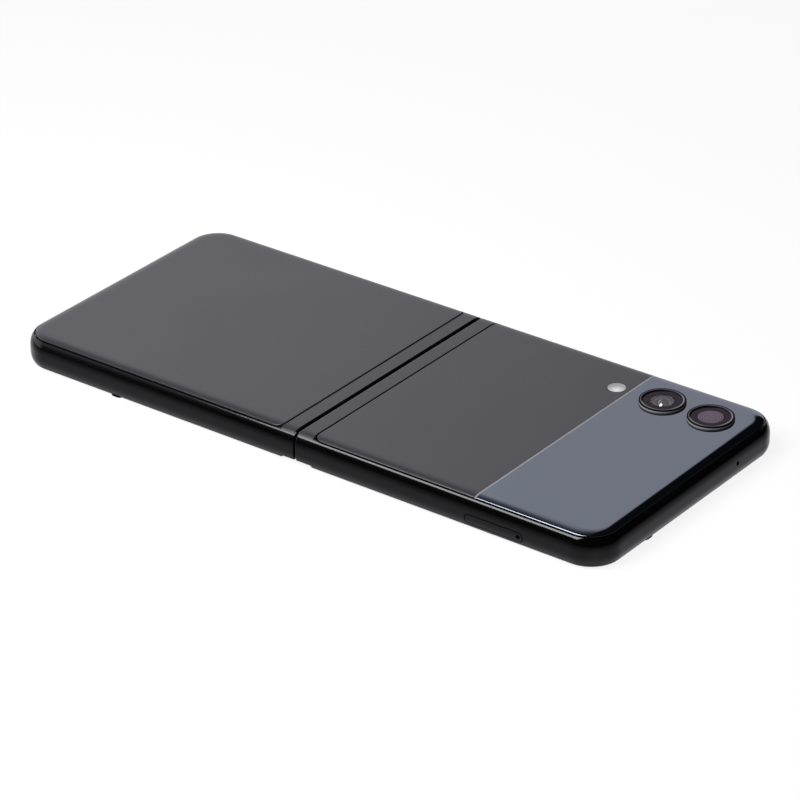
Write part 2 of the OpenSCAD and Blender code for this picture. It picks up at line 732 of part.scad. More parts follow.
module hinge_brackets() color(steel_col) both_ends() translate([0, module_y, z_disp]) {
    difference() {
        along_y(v_end) above(bracket_h) spine_plan(spine_r - spine_wall - 0.05);
        translate([-axis_x, v_guide_l, 0]) arc_y(guide_ri - guide_gap, guide_ro + guide_gap,
            0, 180, guide_w + 2 * side_gap);
        translate([axis_x, v_guide_u, 0]) arc_y(guide_ri - guide_gap, guide_ro + guide_gap,
            0, 180, guide_w + 2 * side_gap);
        block([-20, v_sector_l, 0], [20, v_cheek, chamber_top - z_disp]);
        for (s = [-1, 1]) block([min(s * 2, s * 20), v_sector_l, 0],
            [max(s * 2, s * 20), v_cheek, 20]);
        for (x = [-outer_x, -idler_x, idler_x, outer_x])
            translate([x, v_sector_l - cheek_t, gear_z - z_disp])
                drum_y(pin_r + 0.01, v_end - v_sector_l + cheek_t + 1);
    }
    for (v = [-ear_l, v_end]) difference() {
        block([-2.2, v, bracket_h], [2.2, v + ear_l, 3.05]);
        translate([0, v + ear_l / 2, 0]) cylinder(r = screw_r + 0.02, h = 9);
        translate([0, v + ear_l / 2, 0]) cylinder(r = head_r + 0.05, h = bracket_h + 0.5);
    }
}

module hinge_screws() color("#77797d") both_ends() for (v = [-ear_l / 2, v_end + ear_l / 2])
    translate([0, module_y + v, z_disp + bracket_h + 0.1]) {
        cylinder(r = head_r, h = 0.4);
        cylinder(r = screw_r, h = 2.7);
    }

module gear_pins() color(steel_col) both_ends() {
    for (x = [-idler_x, idler_x]) translate([x, module_y + v_sector_l - cheek_t, gear_z])
        drum_y(pin_r, v_end - v_sector_l + cheek_t);
    for (x = [-outer_x, outer_x]) translate([x, module_y + v_sector_l - cheek_t, gear_z]) {
        drum_y(pin_r, v_end - v_sector_l + cheek_t + ear_l);
        translate([0, v_end - v_sector_l + cheek_t + ear_l - 0.01, 0]) drum_y(0.6, 0.25);
    }
}

module friction_washers() color("#8d8f93") both_ends() for (x = [-outer_x, outer_x])
    translate([x, module_y + v_end + ear_l - 0.05, gear_z]) rotate([90, 0, 0])
        rotate_extrude() polygon(concat([[pin_r + 0.02, 0]],
            [for (i = [0:6]) each [[washer_r - 0.3, 0.02 + i * 0.4],
                [washer_r, 0.2 + i * 0.4], [washer_r - 0.3, 0.38 + i * 0.4]]],
            [[pin_r + 0.02, 2.8]]));

module display_fold() color("#0c0d10") slab(z_disp, z_plate)
    plan(-bezel_x, bezel_x, half_w - display_in, 0, 0);

module hinge_flex() color("#8a5a2a") slab(z_mid + 0.02, z_mid + 0.12)
    plan(-bezel_x, bezel_x, flex_w / 2, 0, 0);

module drive_gear_lower() color(brass_col)
    gear(-outer_x, first_tooth[0], v_sector_l, v_cheek);
module idler_gear_lower() color(brass_col) gear(-idler_x, first_tooth[1], v_idler, v_cheek);
module idler_gear_upper() color(brass_col) gear(idler_x, first_tooth[2], v_idler, v_cheek);
module drive_gear_upper() color(brass_col)
    gear(outer_x, first_tooth[3], v_sector_l, v_cheek);

// ---- Upper half ----

module upper_frame() color(frame_col) {
    difference() {
        frame_half();
        // seat of the SIM tray's faceplate, and the slot behind it
        translate([tray_x, -half_w - 1, tray_mid]) along_y(tray_face + 1 + tray_gap)
            round_rect(tray_l + 2 * tray_gap, tray_h + 2 * tray_gap, tray_h / 2);
        block([tray_x - tray_w / 2 - tray_gap, -half_w - 1, z_floor],
            [tray_x + tray_w / 2 + tray_gap, -wall_y + 1, z_floor + tray_t + 3 * tray_gap]);
        key_hole(volume_x, volume_l);
        key_hole(power_x, power_l);
        translate([half_l - rim_in - 1, mic_y, z_disp + 3]) rotate([0, 90, 0])
            cylinder(r = mic_r, h = 5);
        translate([selfie_x, 0, 0]) cylinder(r = selfie_r + 0.2, h = z_floor + 1);
        breaks_upper(0.02);
    }
    posts(upper_posts, z_board);
}

module key_hole(x, l) {
    translate([x, half_w - key_room - 1.5, key_mid]) along_y(3)
        round_rect(l + 2 * key_gap, key_h + 2 * key_gap, key_h / 2);
    translate([x, wall_y - 1, key_mid]) along_y(3) square([l - 4 + 4 * key_gap, 1.5], center = true);
}

module breaks_upper(g) {
    intersection() {
        curved_half(seam / 2, z_mid, z_glass);
        union() {
            for (q = [[half_l - break_end, seal_w + 0.1], [break_fold, 1.3]])
                block([q[0] - break_w / 2 - g, half_w - rim_in + q[1], 0],
                    [q[0] + break_w / 2 + g, half_w + 1, 20]);
        }
    }
}

module upper_antenna_breaks() color(plastic_col) breaks_upper(0);

module upper_back_glass() color(satin_col) difference() {
    glass_half(glass_x, window_x - 0.04, glass_r);
    translate([flash_x, camera_y, 0]) cylinder(r = flash_r + 0.05, h = 20);
}

module window_glass() color(gloss_col) difference() {
    glass_half(window_x + 0.04, half_l, 0);
    for (x = [camera1_x, camera2_x]) translate([x, camera_y, 0])
        cylinder(r = ring_r + 0.08, h = 20);
}

module upper_glass_seal() color(rubber_col) seal_half();

module upper_bezel() color(plastic_col) difference() {
    bezel_half();
    block([half_l - 2.7, -5, 0], [half_l - 2.4, 5, 3]);
}

module upper_bumpers() color(rubber_col) bumpers_half();

module display_upper() color("#0c0d10") difference() {
    display_half();
    translate([selfie_x, 0, 0]) cylinder(r = selfie_r, h = 5);
}

module display_plate_upper() color(steel_col) difference() {
    plate_half();
    translate([selfie_x, 0, 0]) cylinder(r = selfie_r + 0.1, h = 5);
}

module upper_rotators() color(steel_col) rotator(-1);

module upper_battery() color(cell_col)
    translate([battery_x + upper_cell_l / 2, (leg_y - cell_gap - 0.5 + 6.1 - half_w) / 2, 0])
        slab(z_floor + lay_gap, z_floor + cell_t)
            round_rect(upper_cell_l, leg_y - cell_gap - 6.6 + half_w, 1);

module main_board() color(board_col) slab(z_board, z_board + board_t) difference() {
    union() {
        plan(board_x, board_x1, board_y, 0.5, corner_r - board_end);
        translate([battery_x + 0.4, leg_y]) square([board_x - battery_x, board_leg]);
    }
    for (p = upper_posts) translate(p) circle(screw_r + 0.1);
    for (x = [camera1_x, camera2_x]) translate([x, camera_y])
        square(camera_w + 0.4, center = true);
}

module shield_cans() color(steel_col) {
    can_z = z_board + board_t;
    for (c = [[half_l - 26, 1 - board_y, half_l - 5.5, -4],
            [half_l - 27, -2, half_l - 13, leg_y - 2.5],
            [battery_x + 6.4, leg_y + 0.9, battery_x + 22.4, board_y - 1]]) difference() {
        block([c[0], c[1], can_z], [c[2], c[3], can_z + can_h]);
        block([c[0] + 0.2, c[1] + 0.2, can_z - 1], [c[2] - 0.2, c[3] - 0.2, can_z + can_h - 0.2]);
    }
}

module cover_display() color("#101114")
    translate([half_l - 17.1, (camera_y - 12.4 - board_y) / 2, 0])
        slab(z_seal - 0.9, z_glass - 0.02) round_rect(cover_l, camera_y - 12.4 + board_y, 1.5);

module rear_cameras() color("#26272b") for (x = [camera1_x, camera2_x])
    translate([x, camera_y, 0]) {
        slab(z_floor + lay_gap, z_floor + 3.4) round_rect(camera_w, camera_w, 0.8);
        slab(z_floor + 3.39, z_back + ring_h - lens_sunk - 0.5) difference() {
            circle(lens_r - 0.6);
            circle(1.6);
        }
        slab(z_floor + 3.39, z_floor + 4.4) circle(2);
    }

module camera_rings() color("#0b0b0c") for (x = [camera1_x, camera2_x])
    translate([x, camera_y, 0]) rotate_extrude() polygon([[lens_r - 0.35, z_glass - 1],
        [ring_r + 0.7, z_glass - 1], [ring_r + 0.7, z_glass - 0.12], [ring_r, z_glass - 0.12],
        [ring_r, z_back + ring_h - 0.15], [ring_r - 0.15, z_back + ring_h],
        [lens_r + 0.15, z_back + ring_h], [lens_r + 0.02, z_back + ring_h - 0.13],
        [lens_r + 0.02, z_back + ring_h - lens_sunk - 0.45],
        [lens_r - 0.35, z_back + ring_h - lens_sunk - 0.45]]);

module camera_lens_glass() color("#2b1f2b") for (x = [camera1_x, camera2_x])
    translate([x, camera_y, z_back + ring_h - lens_sunk - 0.44]) cylinder(r = lens_r, h = 0.44);

module flash_led() color("#e8e2c0") block([flash_x - 1.6, camera_y - 1.6, z_board + board_t],
    [flash_x + 1.6, camera_y + 1.6, z_glass - 0.6]);

module flash_lens() color("#c9c9c4") translate([flash_x, camera_y, 0]) {
    slab(z_glass - 0.5, z_back) circle(flash_r);
    slab(z_glass - 0.5, z_glass - 0.05) circle(flash_r + 0.4);
}

module front_camera() color("#1a1a1e") translate([selfie_x, 0, 0]) {
    slab(z_floor + lay_gap, z_board - 0.1) round_rect(6, 6, 0.6);
    slab(z_disp + 0.1, z_floor + 0.2) difference() {
        circle(selfie_r - 0.1);
        circle(0.7);
    }
    slab(z_disp + 0.4, z_floor + 0.2) circle(0.8);
}

module earpiece() color(plastic_col) translate([half_l - 4.1, 0, 0])
    slab(z_floor + lay_gap, z_board - 0.1) round_rect(2.8, 14, 0.6);

module top_mic() color(brass_col)
    block([half_l - 5.6, mic_y - 1.6, z_board - 1], [half_l - 2.8, mic_y + 1.6, z_board]);

module sim_reader() color(steel_col) difference() {
    block([tray_x - tray_w / 2 - 1.25, -wall_y + 0.1, z_floor + 0.02],
        [tray_x + tray_w / 2 + 1.25, -half_w + tray_depth + 1.6, z_board - 0.05]);
    block([tray_x - tray_w / 2 - tray_gap, -half_w, z_floor - 1],
        [tray_x + tray_w / 2 + tray_gap, -half_w + tray_depth + 0.6,
            z_floor + tray_t + 3 * tray_gap]);
}

module key_switches() color("#3c3d41") {
    block([power_x - 8, wall_y - 2.3, z_floor], [volume_x + 11, wall_y - 1.9, z_board - 0.1]);
    for (x = [power_x, volume_x - 8, volume_x + 8])
        block([x - 1.5, wall_y - 1.91, key_mid - 1], [x + 1.5, wall_y - 1, z_board - 0.1]);
}

module upper_bracket() color(plastic_col) difference() {
    union() {
        slab(z_bracket, z_bracket + bracket_t) {
            translate([battery_x + 0.4, leg_y - 0.5])
                square([camera1_x - 6.8 - battery_x, board_leg + 0.5]);
            translate([board_x, -board_y]) square([10, board_y + leg_y]);
        }
        for (p = upper_posts) translate([p[0], p[1], z_board + board_t])
            cylinder(r = post_r - 0.1, h = z_bracket - z_board - board_t + 0.01);
    }
    for (p = upper_posts) translate([p[0], p[1], 0]) {
        cylinder(r = screw_r + 0.02, h = far);
        translate([0, 0, z_bracket + 0.15]) cylinder(r = head_r + 0.05, h = far);
    }
    translate([flash_x, camera_y, 0]) cylinder(r = flash_r + 0.6, h = far);
}

module upper_screws() color(steel_col) {
    for (p = upper_posts) translate([p[0], p[1], 0])
        screw(z_floor + 0.5, z_bracket + 0.15, 0.3);
    arm_screw_set();
}

// ---- Pieces that move ----

module sim_tray() color(frame_col) difference() {
    union() {
        intersection() {
            translate([tray_x, -half_w - 1, tray_mid]) along_y(tray_face + 1)
                round_rect(tray_l, tray_h, tray_h / 2 - 0.01);
            curved_half(seam / 2, z_bezel, z_back);
        }
        block([tray_x - tray_w / 2, -half_w + tray_face - 0.3, z_floor + tray_gap],
            [tray_x + tray_w / 2, -half_w + tray_depth, z_floor + tray_gap + tray_t]);
    }
    translate([tray_x - 1.4, -half_w + tray_depth - 7.4, 0]) slab(0, 20)
        round_rect(8.9, 12.4, 0.4);
    translate([tray_x + tray_l / 2 - 1.15, -half_w - 1, tray_mid])
        drum_y(eject_r, tray_depth);
}

// A key: face in the frame's side, neck through the wall and flange inside it
module key(x, l, proud, face_in) {
    translate([x, half_w - face_in, key_mid]) along_y(face_in + proud)
        round_rect(l, key_h, key_h / 2 - 0.01);
    translate([x, wall_y - 0.35, key_mid]) along_y(half_w - face_in - wall_y + 0.36)
        square([l - 4, 1.2], center = true);
    translate([x, wall_y - key_room - 0.35, key_mid]) along_y(0.36)
        square([l - 2.4, 1.9], center = true);
}

module volume_key() color(frame_col) key(volume_x, volume_l, volume_proud, 1.4);

module power_key() color(frame_col) difference() {
    key(power_x, power_l, -0.05, 1.4);
    translate([power_x, half_w - 0.3, key_mid]) along_y(1)
        round_rect(power_l - 1.6, key_h - 0.5, (key_h - 0.5) / 2 - 0.01);
}

module fingerprint_sensor() color("#0e0e10") translate([power_x, half_w - 0.3, key_mid])
    along_y(0.23) round_rect(power_l - 1.64, key_h - 0.54, (key_h - 0.54) / 2 - 0.01);

lower_frame();
lower_back_glass();
lower_glass_seal();
lower_bezel();
lower_bumpers();
lower_antenna_breaks();
display_lower();
display_plate_lower();
lower_rotators();
lower_battery();
charging_coil();
sub_board();
usb_port();
loudspeaker();
bottom_mic();
vibration_motor();
lower_bracket();
lower_screws();
spine_cover();
hinge_brackets();
hinge_screws();
gear_pins();
friction_washers();
display_fold();
hinge_flex();
drive_gear_lower();
idler_gear_lower();
idler_gear_upper();
drive_gear_upper();
upper_frame();
upper_back_glass();
window_glass();
upper_glass_seal();
upper_bezel();
upper_bumpers();
upper_antenna_breaks();
display_upper();
display_plate_upper();
upper_rotators();
upper_battery();
main_board();
shield_cans();
cover_display();
rear_cameras();
camera_rings();
camera_lens_glass();
flash_led();
flash_lens();
front_camera();
earpiece();
top_mic();
sim_reader();
key_switches();
upper_bracket();
upper_screws();
sim_tray();
volume_key();
power_key();
fingerprint_sensor();
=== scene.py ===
# Finish, light and camera of a foldable smartphone that lies open on its display.
# The shells, glass, keys and trim that show are modelled here as smooth meshes around
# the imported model, and the pieces inside keep their own meshes with new materials.
# Lengths are in millimetres up to the mesh makers, which turn them into metres.
import json
import math

import bmesh
import bpy
from mathutils import Matrix, Vector

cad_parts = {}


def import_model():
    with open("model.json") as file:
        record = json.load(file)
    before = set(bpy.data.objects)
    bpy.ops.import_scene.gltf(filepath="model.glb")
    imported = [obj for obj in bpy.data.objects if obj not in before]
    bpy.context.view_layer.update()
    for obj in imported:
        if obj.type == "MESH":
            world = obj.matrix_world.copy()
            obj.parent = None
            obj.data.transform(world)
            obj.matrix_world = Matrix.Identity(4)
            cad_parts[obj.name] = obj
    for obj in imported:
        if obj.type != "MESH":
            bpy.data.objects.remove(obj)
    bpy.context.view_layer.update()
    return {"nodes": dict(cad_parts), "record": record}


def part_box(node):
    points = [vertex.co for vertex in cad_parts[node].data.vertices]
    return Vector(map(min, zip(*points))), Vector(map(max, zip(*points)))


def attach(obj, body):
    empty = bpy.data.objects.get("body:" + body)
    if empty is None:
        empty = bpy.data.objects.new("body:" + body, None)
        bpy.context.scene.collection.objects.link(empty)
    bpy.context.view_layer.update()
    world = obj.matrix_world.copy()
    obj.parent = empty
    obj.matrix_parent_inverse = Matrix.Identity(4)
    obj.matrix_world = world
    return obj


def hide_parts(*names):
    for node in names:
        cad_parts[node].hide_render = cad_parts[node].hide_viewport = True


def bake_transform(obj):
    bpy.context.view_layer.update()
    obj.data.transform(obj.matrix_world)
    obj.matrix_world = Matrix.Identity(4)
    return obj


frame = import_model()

MM = 0.001
SLOTS = {row["node"]: row["material_slot"] for row in frame["record"]["subparts"]}

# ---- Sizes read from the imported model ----


def span(node):
    """Lowest and highest corner of a node, in millimetres."""
    lo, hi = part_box(node)
    return lo / MM, hi / MM


def middle(node):
    """Middle of a node's box, in millimetres."""
    return [(a + b) / 2 for a, b in zip(*span(node))]


frame_lo, frame_hi = span("upper_frame")
bezel_lo = span("upper_bezel")[0]
glass_lo = span("upper_back_glass")[0]
window_lo = span("window_glass")[0]
display_lo, display_hi = span("display_upper")
spine_lo, spine_hi = span("spine_cover")
ring_hi = span("camera_rings")[1]
lens_lo, lens_hi = span("camera_lens_glass")
tray_lo, tray_hi = span("sim_tray")
rocker_lo, rocker_hi = span("volume_key")
power_lo, power_hi = span("power_key")
sensor_lo, sensor_hi = span("fingerprint_sensor")
usb_lo, usb_hi = span("usb_port")
speaker_lo = span("loudspeaker")[0]
break_hi = span("lower_antenna_breaks")[1]
display_fold_lo, display_fold_hi = span("display_fold")
flex_lo, flex_hi = span("hinge_flex")

HALF_L = frame_hi.x
HALF_W = frame_hi.y
SEAM_X = frame_lo.x
Z_DISP = frame_lo.z
Z_BACK = frame_hi.z
Z_BEZEL = bezel_lo.z
BEZEL_X = bezel_lo.x
Z_GLASS = glass_lo.z
GLASS_X = glass_lo.x
WINDOW_X = window_lo.x
DISPLAY_X = display_lo.x
Z_PLATE = display_hi.z
DISPLAY_IN = HALF_W - display_hi.y

# ---- Sizes of the shape that no box gives ----

CORNER_R = 8.0        # outer corners, seen from above
TOP_IN = 4.6          # how far the side draws in towards the back
TOP_H = 3.6           # height over which it does
TOP_POWER = 4.0       # fullness of that curve
LOW_IN = 1.53         # the same towards the front, a quarter ellipse
LOW_H = 2.78
LOW_Z = 2.84
TOP_Z = Z_BACK - TOP_H
BEZEL_W = 3.0
GLASS_R = 2.0         # corner of the glass beside the fold
RIM_IN = 1.07         # edge of the glass's seat, inside the widest line
GLASS_IN = 1.4        # edge of the glass itself
FOLD_SEAT = 0.14      # the seat's edge beside the fold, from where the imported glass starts
FOLD_EDGE = 0.54      # the glass's own edge there
EDGE_R = 0.1          # pencil edge of the glass
GROOVE_W = 0.72       # groove round the seat, partly under the glass
GROOVE_Z = 6.6
CHAMFER = 0.05
FOLD_ROUND = 0.5      # rounded edge beside the gap between the halves
FOLD_CORNER = 0.28    # the same edge where it runs down the side
BEVEL_W = 0.58        # bevel along the window's straight edge, light grey as a painted highlight
BEVEL_H = 0.05
SPINE_R = 5.05        # spine cover, and the cradle that it turns in
SPINE_WALL = 0.45
CRADLE_R = 5.35
CRADLE_Y = 34.8
AXIS_X = spine_hi.x - SPINE_R
RING_R = 5.4
LENS_R = 4.5
LENS_OPEN = (2.78, 3.0)         # open radius of each camera's mask
CAMERA_SHIFT = (-0.18, 0.33)    # of the cameras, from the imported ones
CAMERA_Y = middle("camera_rings")[1] + CAMERA_SHIFT[1]
CAMERA_X = (lens_lo.x + LENS_R + CAMERA_SHIFT[0], lens_hi.x - LENS_R + CAMERA_SHIFT[0])
Z_RING = ring_hi.z
FLASH = middle("flash_lens")[:2]
FLASH_R = 2.15
KEY_Z = middle("volume_key")[2]
KEY_H = 2.4
TRAY_X = middle("sim_tray")[0]
TRAY_L = tray_hi.x - tray_lo.x
TRAY_H = 2.1
TRAY_Z = 2.55
CARD_Z = 2.95         # middle of the slot for the card's frame
CARD_L = 13.5
EJECT_R = 0.5         # hole for the SIM tray's pin
USB_Z = middle("usb_port")[2]
USB_W = usb_hi.y - usb_lo.y
USB_H = usb_hi.z - usb_lo.z
SELFIE_X = middle("front_camera")[0]
SELFIE_R = 1.8        # hole in the frame for the front camera
DISPLAY_LAP = 0.04    # by which the display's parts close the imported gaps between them
LIP_Z = spine_lo.z
SEAT_Z = 1.7          # top of the display's seat, where the antenna breaks start
WALL = 2.5            # thickness round the room inside, and of the floor under it
BREAK_W = 1.0         # width of an antenna break, and where the upper ones lie
UPPER_BREAK_XS = (10, 72)


def sind(a):
    return math.sin(math.radians(a))


def cosd(a):
    return math.cos(math.radians(a))


def side_in(z):
    """How far the side lies inside the widest line, at a height."""
    if z > TOP_Z:
        return TOP_IN * (1 - max(0, 1 - ((z - TOP_Z) / TOP_H) ** 2) ** (1 / TOP_POWER))
    if z < LOW_Z:
        return LOW_IN * (1 - math.sqrt(max(0, 1 - ((LOW_Z - z) / LOW_H) ** 2)))
    return 0.0


def top_z(inset):
    """Height of the back's surface, at a distance inside the widest line."""
    t = min(max(1 - inset / TOP_IN, 0), 1)
    return TOP_Z + TOP_H * math.sqrt(1 - t ** TOP_POWER)


def inset_at(x, y):
    """Distance of a point of the plan inside the widest line, up to the corner radius."""
    dx = max(abs(x) - HALF_L + CORNER_R, 0)
    dy = max(abs(y) - HALF_W + CORNER_R, 0)
    return CORNER_R - (math.hypot(dx, dy) if dx and dy else max(dx, dy))


def surface(x, y):
    """Height of the back's surface at a point of the plan."""
    return top_z(inset_at(x, y))


def side_levels(za, zb, extra=()):
    """Heights for the side's curve between two levels, closer where it bends more."""
    low = [LOW_Z - LOW_H * sind(a) for a in range(80, -1, -5)]
    high = [TOP_Z + TOP_H * sind(a) for a in
            [*range(0, 81, 4), 82.5, 84.5, 86, 87.2, 88.2, 89]]
    inner = sorted({round(z, 5) for z in [*low, *high, *extra] if za + 0.004 < z < zb - 0.004})
    return [za, *inner, zb]


# ---- Mesh makers ----


def arc(cx, cy, r, a0, a1, n):
    """Points of an arc from angle a0 to a1, in degrees, in n steps."""
    turn = [a0 + (a1 - a0) * k / n for k in range(n + 1)]
    return [(cx + r * cosd(a), cy + r * sind(a)) for a in turn]


def plate(x0, x1, w, r0, r1, n0=8, n1=24):
    """Closed outline of a plate, anticlockwise, mirrored about y = 0: corner radius r0
    at x0 and r1 at x1."""
    near = arc(x0 + r0, r0 - w, r0, 180, 270, n0) + arc(x1 - r1, r1 - w, r1, 270, 360, n1)
    return near + [(x, -y) for x, y in reversed(near)]


def half_plate(x0, inset, r0):
    """Outline of one half of the body from x0 to its end, at an inset all round."""
    return plate(x0, HALF_L - inset, HALF_W - inset, r0, CORNER_R - inset)


def round_rect(l, h, r, n=10):
    """Closed outline of a rectangle with round corners, about its centre."""
    a, b = l / 2 - r, h / 2 - r
    return (arc(a, -b, r, 270, 360, n) + arc(a, b, r, 0, 90, n)
            + arc(-a, b, r, 90, 180, n) + arc(-a, -b, r, 180, 270, n))


def circle(r, n=48):
    return arc(0, 0, r, 0, 360 - 360 / n, n - 1)


def along(axis, centre, outline, w):
    """Points of a flat outline, set square to an axis at position w along it."""
    cx, cy, cz = centre
    if axis == "x":
        return [(w, cy + u, cz + v) for u, v in outline]
    if axis == "y":
        return [(cx - u, w, cz + v) for u, v in outline]
    return [(cx + u, cy + v, w) for u, v in outline]


def loft(loops, caps="fan", closed=False):
    """Vertices and faces of a skin over loops that have the same number of points.
    Strip caps join each point to its mirror image, so they may bend along x."""
    n = len(loops[0])
    rows = len(loops)
    verts = [p for loop in loops for p in loop]
    faces = []
    for k in range(rows if closed else rows - 1):
        a, b = k * n, (k + 1) % rows * n
        faces += [(a + i, a + (i + 1) % n, b + (i + 1) % n, b + i) for i in range(n)]
    if closed:
        return verts, faces
    for start in (0, (rows - 1) * n):
        if caps == "fan":
            faces.append(tuple(range(start, start + n)))
        elif caps == "strip":
            faces += [(start + i, start + i + 1, start + n - 2 - i, start + n - 1 - i)
                      for i in range(n // 2 - 1)]
    return verts, faces


def level(outline, z):
    """Points of an outline seen from above, set at a height."""
    return [(x, y, z) for x, y in outline]


def bar(axis, centre, size, rows, slack=0.01):
    """Bar with round ends; each row is a position along the axis and how far the outline
    draws in there."""
    l, h = size
    return loft([along(axis, centre, round_rect(l - 2 * d, h - 2 * d, min(l, h) / 2 - d - slack), w)
                 for w, d in rows])


def lathe(profile, centre, steps=96, closed=True):
    """Turned ring or plug about a vertical axis; profile is a list of (radius, height)."""
    cx, cy = centre
    turns = [(math.cos(2 * math.pi * k / steps), math.sin(2 * math.pi * k / steps))
             for k in range(steps)]
    return loft([[(cx + r * c, cy + r * s, z) for c, s in turns] for r, z in profile],
                closed=closed)


def rim_sweep(section, x0, n=24):
    """Section of (inset, height) points swept round the open rim of a half, from x0."""
    cx, cy = HALF_L - CORNER_R, HALF_W - CORNER_R
    turn = [math.radians(90 * k / n) for k in range(n + 1)]
    stations = [(x0, -cy, 0, -1)]
    stations += [(cx, -cy, math.sin(a), -math.cos(a)) for a in turn]
    stations += [(cx, cy, math.cos(a), math.sin(a)) for a in turn]
    stations.append((x0, cy, 0, 1))
    return loft([[(bx + nx * (CORNER_R - i), by + ny * (CORNER_R - i), z) for i, z in section]
                 for bx, by, nx, ny in stations])


def placed(name, data):
    """Object in the scene that shows a mesh, lamp or camera."""
    obj = bpy.data.objects.new(name, data)
    bpy.context.scene.collection.objects.link(obj)
    return obj


def build(name, shape, material=None, side=1):
    """Mesh object from a shape in millimetres; side -1 mirrors it to the other half."""
    verts, faces = shape
    mesh = bpy.data.meshes.new(name)
    mesh.from_pydata([(side * x * MM, y * MM, z * MM) for x, y, z in verts], [], faces)
    bm = bmesh.new()
    bm.from_mesh(mesh)
    bmesh.ops.remove_doubles(bm, verts=bm.verts, dist=0.0005 * MM)
    bmesh.ops.dissolve_degenerate(bm, edges=bm.edges, dist=0.0002 * MM)
    bmesh.ops.recalc_face_normals(bm, faces=bm.faces)
    bm.to_mesh(mesh)
    bm.free()
    if material:
        mesh.materials.append(material)
    return placed(name, mesh)


def prism(axis, centre, outline, a, b, name="cut", side=1):
    """Straight solid of a flat outline, from a to b along an axis."""
    return build(name, loft([along(axis, centre, outline, w) for w in (a, b)]), side=side)


def combine(obj, others, operation="DIFFERENCE"):
    """Boolean of an object with others, which are used up: by default it is cut."""
    for other in others:
        step = obj.modifiers.new("step", "BOOLEAN")
        step.operation = operation
        step.solver = "EXACT"
        step.object = other
    view = bpy.context.evaluated_depsgraph_get()
    mesh = bpy.data.meshes.new_from_object(obj.evaluated_get(view))
    obj.modifiers.clear()
    obj.data = mesh
    mesh.name = obj.name
    for other in others:
        bpy.data.objects.remove(other)
    return obj


def polish(obj, sharp=32):
    """Smooth shading that keeps flat faces flat and sharp edges sharp."""
    obj.data.shade_smooth()
    obj.data.set_sharp_from_angle(angle=math.radians(sharp))
    step = obj.modifiers.new("normals", "WEIGHTED_NORMAL")
    step.keep_sharp = True
    step.weight = 100


def dress(obj, body, node, sharp=32):
    """Smooths a finished piece, puts it on its body and lets it stand for its node."""
    polish(obj, sharp)
    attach(obj, body)
    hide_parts(node)


# ---- Materials ----


